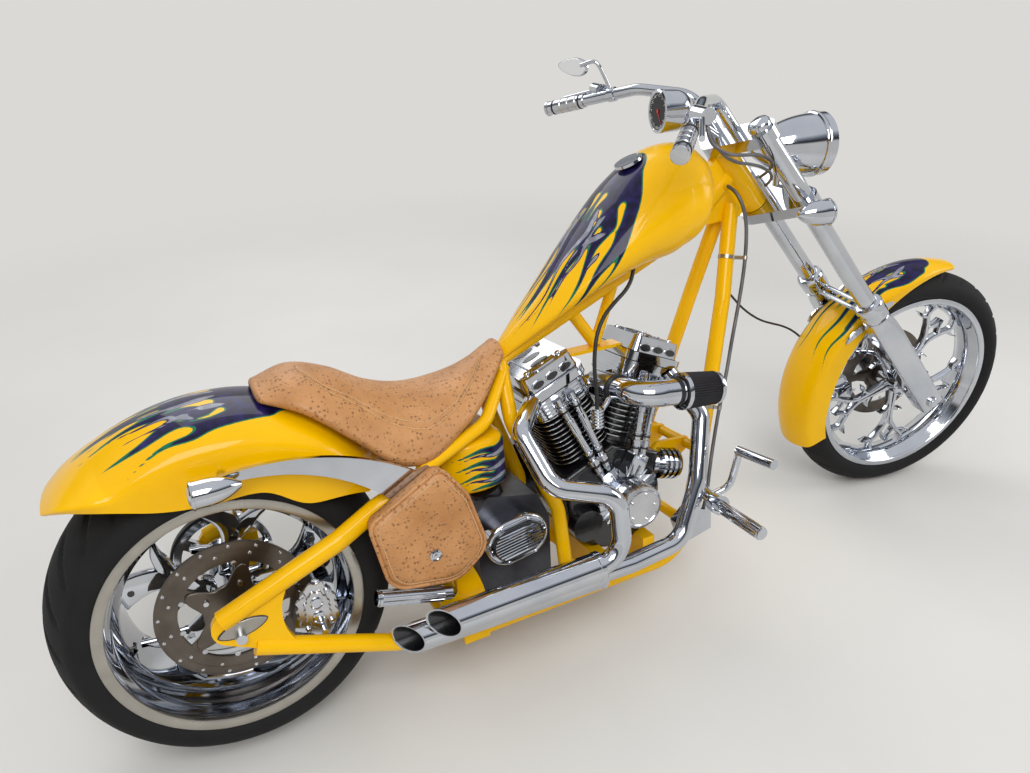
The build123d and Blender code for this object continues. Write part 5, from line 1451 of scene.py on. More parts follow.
@dataclass
class BarTrim(Fitting):
    """What the rider sees: gauge face, mirror glass, grip rings, lamp glasses and fork caps."""

    headlamp: Place = (214.0, 0.0, 828.0)
    signal: Place = (64.0, 192.0, 799.0)
    rear_signal: Place = (-22.0, 213.5, 640.0)
    # ends of a grip above the bars' base
    grip_end: Place = (-186.0, 372.0, 217.0)
    grip_start: Place = (-30.0, 160.0, 163.0)
    collar_height: float = 404.0
    dome: tuple = ((22, 1.5), (18, 4.5), (11, 7), (0.5, 8))

    def build(self) -> None:
        """Make each in turn."""
        c, s = cos(radians(RAKE)), sin(radians(RAKE))
        ahead = (c, 0, -s)
        self.gauge(axis_frame((-66, 0, BAR_BASE + 149), (-c, 0, s), 90))
        self.mirror()
        self.grips()
        lens, rims = self.on_fork("headlamp_glass"), self.on_fork("lamp_rims")
        x, y, z = self.headlamp
        bowl = axis_frame((x + 0.6, y, z - 0.5), ahead)
        lens.lathe([(66, 0), (69, 2), (60, 8), (40, 12), (20, 14), (0.5, 14.5)], bowl, 64)
        rim = [(73, -36), (78, -34), (79.5, -31), (79.5, -27), (78, -24), (73, -22)]
        rims.lathe(rim, axis_frame(self.headlamp, ahead), 72, hollow=True)
        for side in (-1, 1):
            face = axis_frame(on_side(self.signal, side), ahead)
            lens.lathe([(26, -1), (27, 1), *self.dome], face, 40)
            rims.lathe([(26.5, -4), (31.5, -3), (32, 0), (30, 3), (26.5, 2)], face, 44, hollow=True)
        lens.dress(Coat.GLASS)
        rims.dress(Coat.CHROME)
        self.rear_lamps()
        caps = self.on_fork("fork_caps")
        cap = [(24, -2), (26, 0), (26, 8), (22, 14), (12, 18), (0.5, 19)]
        collar = [(24.2, 0), (36, 2), (37.4, 6), (37.4, 26), (35, 32), (26, 36), (24.2, 36)]
        for side in (-1, 1):
            for profile, height in ((cap, BAR_BASE + 5), (collar, self.collar_height)):
                caps.lathe(profile, moved(LEG_OFFSET, side * LEG_SPACING, height), 40)
        caps.dress(Coat.CHROME)

    def grips(self) -> None:
        """Rings and turned sleeves along both grips, with their end caps."""
        rubber, caps = self.on_fork("grip_rings"), self.on_fork("grip_ends")
        base = Vector((0, 0, BAR_BASE))
        cap = [(16.8, 0), (19, -1.5), (19, -7), (17.5, -9), (6, -10.5), (0.5, -10.5)]
        for side in (-1, 1):
            end = Vector(on_side(self.grip_end, side)) + base
            way = (Vector(on_side(self.grip_start, side)) + base - end).normalized()
            ring = turned("ring", [(16.6, 0), (18.2, 1), (18.2, 5), (16.6, 6)], 28)
            rubber.row_of(ring, 2, (0, 0, 84), axis_frame(end + way * 12, way))
            sleeve = turned("sleeve", [(17.2, 0), (18.6, 1.5), (18.6, 20.5), (17.2, 22)], 32)
            caps.row_of(sleeve, 3, (0, 0, 24), axis_frame(end + way * 20, way))
            caps.lathe(cap, axis_frame(end - way, way), 28)
        rubber.dress(Coat.RUBBER)
        caps.dress(Coat.ALUMINIUM)

    def rear_lamps(self) -> None:
        """The rims and glasses of the two rear signals."""
        lens, rims = self.on_bike("rear_lamp_glass"), self.on_bike("rear_lamp_rims")
        for side in (-1, 1):
            face = axis_frame(on_side(self.rear_signal, side), (-1, 0, 0))
            lens.lathe([(21, -1), (21.5, 1), *((r * 0.92, h) for r, h in self.dome)], face, 36)
            rims.lathe([(21.5, -4), (25.5, -3), (26, 0), (24.5, 2.5), (21.5, 2)], face, 40, hollow=True)
        lens.dress(Coat.GLASS)
        rims.dress(Coat.CHROME)

    def mirror(self) -> None:
        """A teardrop mirror on a thin curved stem."""
        base = Vector((-72, 217, BAR_BASE + 180))
        middle = Vector((-88, 304, BAR_BASE + 273))
        back = self.on_fork("mirror_back")
        stem = (base, base + Vector((12, 6, 46)), base + Vector((16, 16, 84)), middle + Vector((6, -42, 2)))
        back.pipe([tuple(p) for p in curve_points(stem, 24)], 5.0, 14)
        foot = axis_frame(base - Vector((0, 0, 2)), (-156, 212, 54))
        back.lathe([(14.2, -11), (17.5, -9), (17.5, 9), (14.2, 11)], foot, 32)
        normal = Vector((-0.6, -0.4, 0.6)).normalized()
        across = Vector((0, 1, 0))
        across = (across - normal * across.dot(normal)).normalized()
        up = normal.cross(across)
        place = Matrix.Translation(middle) @ Matrix((across, up, normal)).transposed().to_4x4()
        layers = ((-13, 0.25), (-11, 0.6), (-6, 0.86), (0, 1.0), (4, 1.0), (6, 0.96))
        back.skin([[(x * share, y * share, depth) for x, y in self.drop(1.0)] for depth, share in layers], place)
        back.dress(Coat.CHROME, "mirror")
        glass = self.on_fork("mirror_glass")
        glass.plate(self.drop(0.9), 1.4, place @ lift(5.6), 0.4)
        glass.dress(Coat.MIRROR)

    def drop(self, scale: float) -> list[Spot]:
        """A teardrop, round at one end and drawn out at the other."""
        return [(scale * 53 * cos(t), scale * 21 * sin(t) * (1 - 0.3 * cos(t))) for t in turns(48)]

    def gauge(self, face: Matrix) -> None:
        """A dark dial with pale ticks and a red hand under a bright bezel."""
        dial = self.on_fork("gauge_dial")
        dial.lathe([(40.5, -0.5), (40.5, 1.0), (0.5, 1.2)], face, 48)
        dial.dress(Coat.DIAL)
        bezel = self.on_fork("gauge_bezel")
        bezel.lathe([(39.5, -1), (40.5, 3.5), (44, 5), (48, 3), (48.6, -4), (43, -4)], face, 56, hollow=True)
        bezel.dress(Coat.CHROME)
        marks = self.on_fork("gauge_marks")
        for count, long, wide in ((48, 3.5, 0.35), (12, 6.5, 0.7)):
            tick = Former("tick")
            tick.plate([(-long, -wide), (0, -wide), (0, wide), (-long, wide)], 0.6, None, 0.1)
            marks.ring_of(tick, count, 38.0, face @ lift(1.1))
        marks.dress(Coat.PALE)
        hand = self.on_fork("gauge_hand")
        spot = face @ lift(1.6) @ spun(215)
        hand.plate([(-7, -1.4), (31, -0.3), (31, 0.3), (-7, 1.4)], 0.9, spot, 0.2)
        hand.lathe([(4, 0), (4, 1.6), (0.4, 2.2)], face @ lift(1.6), 20)
        hand.dress(Coat.RED)


@dataclass
class ForkLegs(Fitting):
    """The lower fork legs: a round collar, a waist, and a broad flat-faced body down to the axle."""

    # height, half width fore and aft, half width across, squareness
    sections: tuple = (
        (-28, 28, 26, 0.7), (-22, 33, 30, 0.85), (120, 35, 31, 0.9), (290, 36, 32, 0.9), (340, 34, 31, 0.6),
        (372, 30, 30, 0.15), (388, 31, 31, 0.0), (392, 37, 37, 0.0), (418, 37, 37, 0.0), (424, 31, 31, 0.0)
    )

    def build(self) -> None:
        """Skin both legs, and cap the axle."""
        former = self.on_fork("fork_leg_bodies")
        for side in (-1, 1):
            rings = []
            for z, along, across, square in self.sections:
                bend = 2 / (2.0 + 7.0 * square)
                corners = [polar(1.0, 2 * pi * (k + 0.5) / 56) for k in range(56)]
                xs = [LEG_OFFSET + copysign(abs(c) ** bend, c) * along for c, _ in corners]
                ys = [side * LEG_SPACING + copysign(abs(n) ** bend, n) * across for _, n in corners]
                rings.append([(x, y, z) for x, y in zip(xs, ys)])
            former.skin(rings)
            face = axis_frame((LEG_OFFSET, side * (LEG_SPACING + 31), 0), (0, side, 0))
            former.lathe([(16, -2), (16, 5), (13, 7.5), (7, 7.5), (6, 4), (0.5, 4)], face, 32)
        former.dress(Coat.CHROME, "fork_sliders", sharp=30)


@dataclass
class ForkBrace(Fitting):
    """The curved chrome arch over the front tyre, with a three-pointed bracket on each side."""

    bracket_height: float = 342.0

    def build(self) -> None:
        """Bend the arch, and stand the brackets beside the fender."""
        former = self.on_fork("fork_brace_arch")
        half = LEG_SPACING - 30
        leg = [(0, half, 376), (-2, half - 8, 392), (-5, 62, 403)]
        line = curve_points([on_side(p, -1) for p in leg] + [(-6, 0, 406)] + leg[::-1], 46)
        for shift in (-11.0, 11.0):
            rings = []
            for i, (x, y, z) in enumerate(line):
                way = (Vector(line[min(i + 1, 45)]) - Vector(line[max(i - 1, 0)])).normalized()
                fore = Vector((1, 0, 0))
                up = way.cross(fore).normalized()
                middle = Vector((LEG_OFFSET + x + shift, y, z))
                rings.append([middle + fore * u + up * v for u, v in oval(6.5, 4.2, 16)])
            former.skin(rings)
        for side in (-1, 1):
            for height in (372, 398):
                ring = moved(LEG_OFFSET, side * LEG_SPACING, height)
                former.lathe([(31, 0), (34.5, 1), (34.5, 6), (31, 7)], ring, 44, hollow=True)
            face = moved(LEG_OFFSET, side * 86 + 3, 0) @ UPRIGHT
            former.plate(self.star(), 6.0, face, 1.6)
            cap = axis_frame((LEG_OFFSET, side * 89, self.bracket_height + 2), (0, side, 0))
            former.lathe([(9, -1), (9, 3), (7.5, 5), (0.5, 5.5)], cap, 24)
            rod = axis_frame((LEG_OFFSET, side * 80, self.bracket_height), (0, side, 0))
            former.lathe([(8, 0), (8, 36)], rod, 24)
        former.dress(Coat.CHROME, "fork_brace", sharp=40)

    def star(self) -> list[Spot]:
        """A three-pointed plate with hollow sides."""
        h = self.bracket_height
        tips = ((-90, h - 6), (4, h - 52), (80, h - 8))
        middle = Vector((0, h + 4))
        out: list[Spot] = []
        for i, tip in enumerate(tips):
            nxt = tips[(i + 1) % 3]
            mid = Vector(tip).lerp(Vector(nxt), 0.5)
            mid = mid.lerp(middle, 0.62 if i < 2 else -0.2)
            out += arc(tip, tuple(mid), nxt, 14)[:-1]
        return out


@dataclass
class CaliperFace(Fitting):
    """The scalloped outer plate of the rear brake caliper, with its bolts."""

    middle: Place = (146.0, -130.2, 300.0)

    def build(self) -> None:
        """Cut the plate's edge in scallops and screw it down."""
        plate = self.on_bike("caliper_plate")
        face = Matrix.Translation(self.middle) @ UPRIGHT
        rim = []
        for k in range(150):
            a = 2 * pi * k / 150
            x, y = abs(cos(a)) / 38.0, abs(sin(a)) / 58.0
            rim.append(polar(1.0 / max(x, y, (x + y) / 1.42) + 2.4 * cos(15 * a), a))
        plate.plate(rim, 6.0, face, 1.4)
        plate.plate([(x * 0.66, y * 0.7) for x, y in rim], 10.0, face, 1.8)
        plate.dress(Coat.ALUMINIUM)
        bolts = self.on_bike("caliper_bolts")
        for x, y in ((-24, -40), (24, -36), (-24, 40), (24, 36)):
            bolts.lathe([(6.5, 0), (6.5, 5), (5, 6.5), (3.5, 6.5), (3, 4), (0.5, 4)], face @ moved(x, y, 5), 18)
        for y in (-16, 16):
            bolts.lathe([(13, 0), (13, 2.5), (11, 3.5), (10, 2), (0.5, 2)], face @ moved(0, y, 9.5), 30)
        bolts.dress(Coat.CHROME)


@dataclass
class ChassisTrim(Fitting):
    """Small fittings on the frame: the swingarm's inlays, strut bolts, hose straps, belt teeth and peg flutes."""

    strut_bolts: tuple = ((338, 513), (394, 545))
    # x and height of the belt's pulleys and the radii on which it runs, rear and front
    pulleys: tuple = ((0, 329), (580, 330))
    runs: tuple = (104.0, 46.0)
    tooth_edges: tuple = (133.5, 146.5)
    tooth_pitch: float = 11.0
    # where the hose's straps stand on the down tube and on the hose
    strap_tubes: tuple = ((1266, -41, 835), (1160, -98, 482))
    strap_hoses: tuple = ((1290, -81, 834), (1184, -119.5, 480))

    def build(self) -> None:
        """Make each in turn."""
        inlay, rims = self.on_bike("swingarm_inlays"), self.on_bike("swingarm_inlay_rims")
        bolts = self.on_bike("chassis_bolts")
        leaf = [(44 * cos(t), 15 * sin(t) * abs(sin(t)) ** 0.35) for t in turns(40)]
        rim = [(47 * cos(t), 17.5 * sin(t) * abs(sin(t)) ** 0.3) for t in turns(40)]
        head = [(0.5, 0), (8.5, 0), (8.5, 4.5), (7.5, 5.5), (4.675, 5.5), (4.25, 2.5), (0.5, 2.5)]
        for side in (-1, 1):
            face = axis_frame((6, side * 183.2, 344), (0, side, 0))
            spin = face @ self.level(face) @ spun(8 * -side)
            rims.plate(rim, 1.6, spin, 0.5)
            inlay.plate(leaf, 2.6, spin, 0.6)
            for x, z in self.strut_bolts:
                bolts.lathe(head, axis_frame((x, side * 188.5, z), (0, side, 0)), 20)
        rims.dress(Coat.BLACK)
        inlay.dress(Coat.SATIN)
        bolts.dress(Coat.CHROME)
        self.belt()
        self.pegs()
        self.straps()

    def level(self, face: Matrix) -> Matrix:
        """The turn about a face's z axis that makes its x axis point ahead."""
        ahead = face.to_3x3().inverted() @ Vector((1, 0, 0))
        return Matrix.Rotation(atan2(ahead.y, ahead.x), 4, "Z")

    def straps(self) -> None:
        """Bright straps that tie the long hose to the right down tube."""
        former = self.on_bike("hose_straps")
        axis = (Vector(self.strap_tubes[0]) - Vector(self.strap_tubes[1])).normalized()
        for tube, hose in zip(self.strap_tubes, self.strap_hoses):
            across = Vector(hose) - Vector(tube)
            across -= axis * across.dot(axis)
            reach = across.length
            across.normalize()
            place = Matrix.Translation(tube) @ Matrix((across, axis.cross(across), axis)).transposed().to_4x4()
            band = [(0.0, -5), (1.8, -4.5), (1.8, 4.5), (0.0, 5)]
            former.lathe([(TUBE_RADIUS - 0.6 + r, h) for r, h in band], place, 40, hollow=True)
            loop = [(HOSE_RADIUS - 0.4 + r, h) for r, h in band]
            former.lathe(loop, place @ moved(reach, 0, 0), 24, hollow=True)
            link = [(TUBE_RADIUS, -1.2), (reach - HOSE_RADIUS, -1.2), (reach - HOSE_RADIUS, 1.2), (TUBE_RADIUS, 1.2)]
            former.plate(link, 9.0, place @ lift(-4.5), 0.4)
        former.dress(Coat.SATIN)

    def belt(self) -> None:
        """Moulded teeth on the inside of the drive belt's two straight runs."""
        teeth = self.on_bike("belt_teeth")
        (rear, front), (big, small), pitch = map(Vector, self.pulleys), self.runs, self.tooth_pitch
        a = pi / 2 - asin((big - small) / (front - rear).length)
        for side in (-1, 1):
            off = Vector((cos(a), side * sin(a)))
            start, end = rear + off * (big + 0.2), front + off * (small + 0.2)
            way = (end - start).normalized()
            tooth = Former("tooth")
            along = Vector((way.x, 0, way.y))
            deep = Vector((-way.y, 0, way.x)) * -side
            rings = []
            for y in self.tooth_edges:
                corners = [along * u - deep * v for u, v in ((-2.6, 0.4), (2.6, 0.4), (1.6, -2.6), (-1.6, -2.6))]
                rings.append([(q.x, y, q.z) for q in corners])
            tooth.skin(rings)
            count = int((end - start).length // pitch) - 8
            first = start + way * 4 * pitch
            teeth.row_of(tooth, count, (way.x * pitch, 0, way.y * pitch), moved(first.x, 0, first.y))
        teeth.dress(Coat.RUBBER)

    def pegs(self) -> None:
        """Flutes along the foot pegs, with their end rims."""
        flutes = self.on_bike("peg_flutes")
        for side in (-1, 1):
            for start, end, radius in (
                ((1068, side * 268, 300), (1064, side * 398, 297), 14.0),
                ((390, side * 212, 291), (252, side * 214, 331.5), 15.0)
            ):
                a, b = Vector(start), Vector(end)
                bar = Former("flute")
                long = (b - a).length - 10
                bar.pipe([(0, 0, 0), (0, 0, 3), (0, 0, long - 3), (0, 0, long)], 1.6, 8, [0.5, 1.6, 1.6, 0.5])
                flutes.ring_of(bar, 14, radius, axis_frame(a + (b - a).normalized() * 4, b - a))
                rim = [(radius - 1, 0), (radius + 2, 1), (radius + 2, 6), (radius - 1, 7)]
                flutes.lathe(rim, axis_frame(b - (b - a).normalized() * 8, b - a), 28)
        flutes.dress(Coat.CHROME)


@dataclass
class LooseHose(Fitting):
    """The last run of the brake hose, from the fork's end of it to its clip on the frame."""

    clip: Place = (1.259, -0.056, 0.737)
    free_end: Place = (-0.192, -0.040, 0.694)
    free_way: Place = (-0.10, -0.26, 0.96)
    radius: float = 3.0

    def build(self) -> None:
        """Bridge the hose's two clips with one pipe."""
        start = self.stand.bike @ Vector(self.clip)
        end = self.stand.fork @ Vector(self.free_end)
        way = self.stand.fork.to_3x3() @ Vector(self.free_way)
        reach = (end - start).length
        over = end + way * reach * 0.45
        hang = start.lerp(over, 0.4) + Vector((0, 0, 0.12 * reach))
        line = [tuple(p / MM) for p in (start, hang, over, end - way * 0.004)]
        former = Former("brake_hose_bridge")
        former.pipe([tuple(p) for p in curve_points(line, 30)], self.radius, 14)
        piece = former.finish(60)
        piece.data.materials.append(Coat.RUBBER.material())
        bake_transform(piece)
        LOG.info("piece %s bridges %.3f m", piece.name, reach)


# --- leather


@dataclass
class Seat(Fitting):
    """The low solo seat with its raised tail, in ostrich hide."""

    # x, underside at the middle and top at the middle above the axle, half width, drop of the edge, side wall
    sections: tuple = (
        (126, 411, 425, 76, 14, 10), (190, 398, 442, 118, 24, 20), (270, 371, 419, 148, 62, 24),
        (345, 330, 375, 158, 90, 24), (410, 306, 354, 156, 80, 24), (490, 304, 352, 134, 44, 24),
        (575, 326, 373, 84, 22, 24), (638, 377, 409, 44, 8, 22)
    )
    axle: float = 329.0
    along: int = 150
    # x and share of the way across, from the middle (0) to the edge (1), of the seam round the pillow
    seam: tuple = (
        (203, 0.0), (207, 0.2), (216, 0.4), (231, 0.54), (250, 0.62), (300, 0.66), (360, 0.74), (430, 0.8), (500, 0.78),
        (560, 0.6), (596, 0.3)
    )

    def build(self) -> None:
        """Skin the seat through its sections, crowned and rolled under at the edge."""
        rows = eased(self.sections, self.along)
        former = self.on_bike("seat_hide")
        former.skin([ring for ring, _, _ in capped(rows, self.section, 9, 0.7)])
        seat = former.finish(180)
        dress(seat, "chassis", Coat.HIDE, "seat")
        self.stitches(rows)

    def section(
        self, x: float, low: float, top: float, half: float, drop: float, rim: float
    ) -> tuple[list[Spot], float]:
        """One section: a hollow underside, a rolled edge and a crowned top with a groove at the seam."""
        edge = low - drop
        under = arc((-half + 6, edge), (0, low), (half - 6, edge), 30)
        roll = arc((half - 6, edge), (half, edge + rim * 0.4), (half - 3, edge + rim), 10)
        crown = arc((half - 3, edge + rim), (0, top), (-half + 3, edge + rim), 80)
        share = float(np.interp(x, *zip(*self.seam), left=-9, right=-9))
        shaped = [(y, z - 4.0 * exp(-(((abs(y) - share * half) / 5.0) ** 2))) for y, z in crown]
        left = [(-y, z) for y, z in reversed(roll)]
        line = under[:-1] + roll[:-1] + shaped[:-1] + left[:-1]
        return [(y, self.axle + z) for y, z in line], self.axle + (low + top) / 2 - drop * 0.4

    def top_at(self, rows: np.ndarray, x: float, share: float) -> Vector:
        """The place on the seat's top at a station and share of the way across."""
        x, low, top, half, drop, rim = (float(np.interp(x, rows[:, 0], rows[:, k])) for k in range(6))
        edge = low - drop + rim
        crown = arc((half - 3, edge), (0, top), (-half + 3, edge), 80)
        y = share * half
        z = float(np.interp(y, *zip(*reversed(crown))))
        return Vector((x, y, self.axle + z))

    def stitches(self, rows: np.ndarray) -> None:
        """Sew pale stitches along both sides of the seam."""
        thread = self.on_bike("seat_stitches")
        for side in (-1, 1):
            for offset in (-0.035, 0.035):
                path = []
                for x in np.linspace(self.seam[0][0] + 4, self.seam[-1][0] - 4, 60):
                    share = float(np.interp(x, *zip(*self.seam)))
                    path.append(self.top_at(rows, x, side * (share + offset)) - Vector((0, 0, 0.6)))
                stitch = Former("stitch")
                stitch.pipe([(-2.2, 0, -0.7), (-1.2, 0, 0.3), (1.2, 0, 0.3), (2.2, 0, -0.7)], 0.75, 6)
                thread.along_path(stitch, path, 92)
        thread.dress(Coat.THREAD, sharp=180)


@dataclass
class SaddleBag(Fitting):
    """The kite-shaped bag on the right of the rear fender, closed by one clasp."""

    inner: float = -189.3
    depth: float = 50.0
    outline: tuple = ((409, 573), (257, 492), (282, 344), (420, 318), (492, 372), (458, 502))
    corner: tuple = (20, 26, 50, 60, 46, 50)
    clasp: Spot = (377, 392)
    # how far each ring is drawn in and swollen out
    swell: tuple = (
        (0.02, 0.0), (0.0, 0.05), (0.0, 0.55), (0.03, 0.75), (0.08, 0.86), (0.16, 0.93), (0.28, 0.98), (0.44, 1.0),
        (0.62, 1.0), (0.8, 1.0), (0.93, 1.0)
    )

    def build(self) -> None:
        """Swell the bag from its outline, sink the clasp and roll the piped edge."""
        rim = self.rounded()
        middle = centre(rim)
        rings = []
        for inset, out in self.swell:
            points = [Vector(p).lerp(middle, inset) for p in rim]
            rings.append([(q.x, self.inner - self.depth * out * 0.86 + self.dent(q), q.y) for q in points])
        former = self.on_bike("saddle_bag_hide")
        former.skin(rings)
        self.cord(former, [(x, self.inner - self.depth * 0.62, z) for x, z in rim], 4.2)
        bag = former.finish(180)
        dress(bag, "chassis", Coat.HIDE, "saddle_bag")
        clasp = self.on_bike("bag_clasp")
        x, z = self.clasp
        face = axis_frame((x, self.inner - self.depth * 0.86 + 7.5, z), (0, -1, 0))
        stud = [(0.5, -2), (11, -2), (12.5, 0), (12, 3), (9, 4.5), (7.5, 3.5), (4, 4), (3, 6.5), (0.5, 7)]
        clasp.lathe(stud, face, 36)
        clasp.dress(Coat.CHROME)
        thread = self.on_bike("bag_stitches")
        out = self.inner - self.depth * 0.885 * 0.86 - 1.5
        seam = [(q.x, out, q.y) for q in (Vector(p).lerp(middle, 0.1) for p in rim + rim[:1])]
        stitch = Former("stitch")
        stitch.pipe([(-2.2, 0, -0.5), (-1.2, 0, 0.3), (1.2, 0, 0.3), (2.2, 0, -0.5)], 0.75, 6)
        thread.along_path(stitch, seam, 110)
        thread.dress(Coat.THREAD, sharp=180)

    def dent(self, place: Vector) -> float:
        """How far the clasp pulls the face in at a place."""
        gap = hypot(place.x - self.clasp[0], (place.y - self.clasp[1]) / 1.25)
        return 9.0 * exp(-((gap / 38.0) ** 2))

    def rounded(self) -> list[Spot]:
        """The outline with its corners rounded."""
        out: list[Spot] = []
        n = len(self.outline)
        for i, (corner, radius) in enumerate(zip(self.outline, self.corner)):
            a = (Vector(self.outline[i - 1]) - Vector(corner)).normalized()
            b = (Vector(self.outline[(i + 1) % n]) - Vector(corner)).normalized()
            half = a.angle(b) / 2
            reach = radius / tan(half)
            centre = Vector(corner) + (a + b).normalized() * radius / sin(half)
            start, end = Vector(corner) + a * reach, Vector(corner) + b * reach
            mid = centre + (Vector(corner) - centre).normalized() * radius
            out += arc(tuple(start), tuple(mid), tuple(end), 10)
            nxt = Vector(self.outline[(i + 1) % n])
            c = (Vector(self.outline[(i + 2) % n]) - nxt).normalized()
            d = (Vector(corner) - nxt).normalized()
            stop = nxt + d * (self.corner[(i + 1) % n] / tan(c.angle(d) / 2))
            out += [tuple(end.lerp(stop, k / 8)) for k in range(1, 8)]
        return out

    def cord(self, former: Former, path: Rows, radius: float) -> None:
        """Run a piped cord round a closed path."""
        points = [Vector(p) for p in path]
        rings = []
        for i, p in enumerate(points):
            way = (points[(i + 1) % len(points)] - points[i - 1]).normalized()
            side = way.cross(Vector((0, 1, 0))).normalized()
            out = Vector((0, 1, 0))
            rings.append([p + side * u + out * v for u, v in (polar(radius, pi * k / 5) for k in range(10))])
        former.skin(rings, closed=True)


# --- carried-over solids


def coat_solids(frame: dict) -> None:
    """Give every carried-over solid the first finish of its slot.

    Args:
        frame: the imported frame.
    """
    coats: dict[str, Coat] = {}
    for coat in Coat:
        coats.setdefault(coat.value.slot, coat)
    slots = {part["node"]: part["material_slot"] for part in frame["record"]["subparts"]}
    for name, solid in frame["nodes"].items():
        material = (Coat.CASE if name == "gearbox" else coats[slots[name]]).material()
        if not solid.material_slots:
            solid.data.materials.append(material)
        for place in solid.material_slots:
            place.material = material


# --- studio


@dataclass(frozen=True)
class StudioPaper(Finish):
    """Pale backdrop paper: matt and shadowed near the motorcycle, an even pale tone far away."""

    far: str = "#dbd9d5"
    near_m: float = 1.9
    far_m: float = 4.6

    def paint(self, tree: Tree, where: Any, shader: Any) -> None:
        """Blend from the lit floor to an even tone with distance, for the eye and for reflections."""
        super().paint(tree, where, shader)
        distance = add_node(tree, "ShaderNodeVectorMath", {"operation": "LENGTH", 0: where}).outputs["Value"]
        near = {"interpolation_type": "SMOOTHSTEP", "From Min": self.near_m, "From Max": self.far_m, "Value": distance}
        share = add_node(tree, "ShaderNodeMapRange", near).outputs[0]
        rays = add_node(tree, "ShaderNodeLightPath").outputs
        seen = worked(tree, "MAXIMUM", rays["Is Camera Ray"], rays["Is Glossy Ray"])
        seen = worked(tree, "MAXIMUM", seen, rays["Is Transmission Ray"])
        strength = worked(tree, "MULTIPLY", seen, share)
        glow = add_node(tree, "ShaderNodeEmission", {"Color": self.far}).outputs[0]
        mix = add_node(tree, "ShaderNodeMixShader", {0: strength, 1: shader.outputs[0], 2: glow}).outputs[0]
        add_node(tree, "ShaderNodeOutputMaterial", {"is_active_output": True, "Surface": mix})


@dataclass
class Studio:
    """A pale floor, soft lamps and the camera at the photograph's angle."""

    stand: Stand
    position: Place = (0.026, -1.438, 1.172)
    yaw: float = 65.46
    pitch: float = 19.43
    roll: float = -4.75
    floor_reach: float = 60.0

    def build(self) -> None:
        """Set the floor, the lamps, the world and the camera."""
        self.camera()
        self.floor()
        self.lamps()
        scene = bpy.context.scene
        scene.view_settings.view_transform = "Standard"

    def camera(self) -> None:
        """Stand the camera where the photograph was taken."""
        yaw, pitch, roll = (radians(v) for v in (self.yaw, self.pitch, self.roll))
        ahead = Vector((cos(pitch) * cos(yaw), cos(pitch) * sin(yaw), -sin(pitch)))
        right = ahead.cross(Vector((0, 0, 1))).normalized()
        up = right.cross(ahead)
        across = right * cos(roll) + up * sin(roll)
        above = up * cos(roll) - right * sin(roll)
        turn = Matrix((across, above, -ahead)).transposed().to_4x4()
        data = bpy.data.cameras.new("camera")
        data.sensor_width = 36.0
        data.lens = FOCAL_PIXELS * 36.0 / PHOTO_WIDTH
        data.clip_start = 0.05
        camera = bpy.data.objects.new("camera", data)
        camera.matrix_world = self.stand.bike @ Matrix.Translation(self.position) @ turn
        bpy.context.scene.collection.objects.link(camera)
        bpy.context.scene.camera = camera

    def floor(self) -> None:
        """Lay a wide, level, pale floor that ends out of sight."""
        mesh = bpy.data.meshes.new("floor")
        corners = [(u * self.floor_reach, v * self.floor_reach, 0.0) for u, v in ((-1, -1), (1, -1), (1, 1), (-1, 1))]
        mesh.from_pydata(corners, [], [(0, 1, 2, 3)])
        floor = bpy.data.objects.new("floor", mesh)
        bpy.context.scene.collection.objects.link(floor)
        paper = StudioPaper("pale_studio_paper", "#d6d4cf", roughness=0.75, worn="#d0cec9", patch_mm=900)
        mesh.materials.append(paper.material())

    def lamps(self) -> None:
        """Hang soft lamps, and light the rest from a plain sky with a dark band above the pale horizon."""
        for name, place, aim, size, power in (
            ("key", (-1.4, -2.8, 3.6), (0.0, 0.0, 0.4), 2.2, 105), ("side", (3.4, -1.6, 2.4), (0.3, 0.0, 0.5), 1.8, 42),
            ("back", (-0.5, 3.2, 3.2), (0.0, 0.0, 0.5), 2.6, 55)
        ):
            data = bpy.data.lights.new(name, "AREA")
            data.size = size
            data.energy = power
            lamp = bpy.data.objects.new(name, data)
            lamp.matrix_world = axis_frame(place, Vector(place) - Vector(aim))
            bpy.context.scene.collection.objects.link(lamp)
        world = bpy.data.worlds.new("sky")
        bpy.context.scene.world = world
        world.use_nodes = True
        tree = world.node_tree
        tree.nodes.clear()
        where = add_node(tree, "ShaderNodeTexCoord").outputs["Generated"]
        up = add_node(tree, "ShaderNodeSeparateXYZ", {0: where}).outputs["Z"]
        ramp = add_node(tree, "ShaderNodeValToRGB", {0: up})
        stops = ramp.color_ramp.elements
        stops[0].position, stops[0].color = 0.0, linear(StudioPaper.far)
        stops[1].position, stops[1].color = 0.66, linear("#dfe1e5")
        for position, colour in ((0.24, StudioPaper.far), (0.33, "#37373a"), (0.42, "#4c4f55"), (0.52, "#8b9097")):
            stops.new(position).color = linear(colour)
        back = add_node(tree, "ShaderNodeBackground", {"Strength": 1.0, "Color": ramp.outputs[0]})
        add_node(tree, "ShaderNodeOutputWorld", {0: back.outputs[0]})


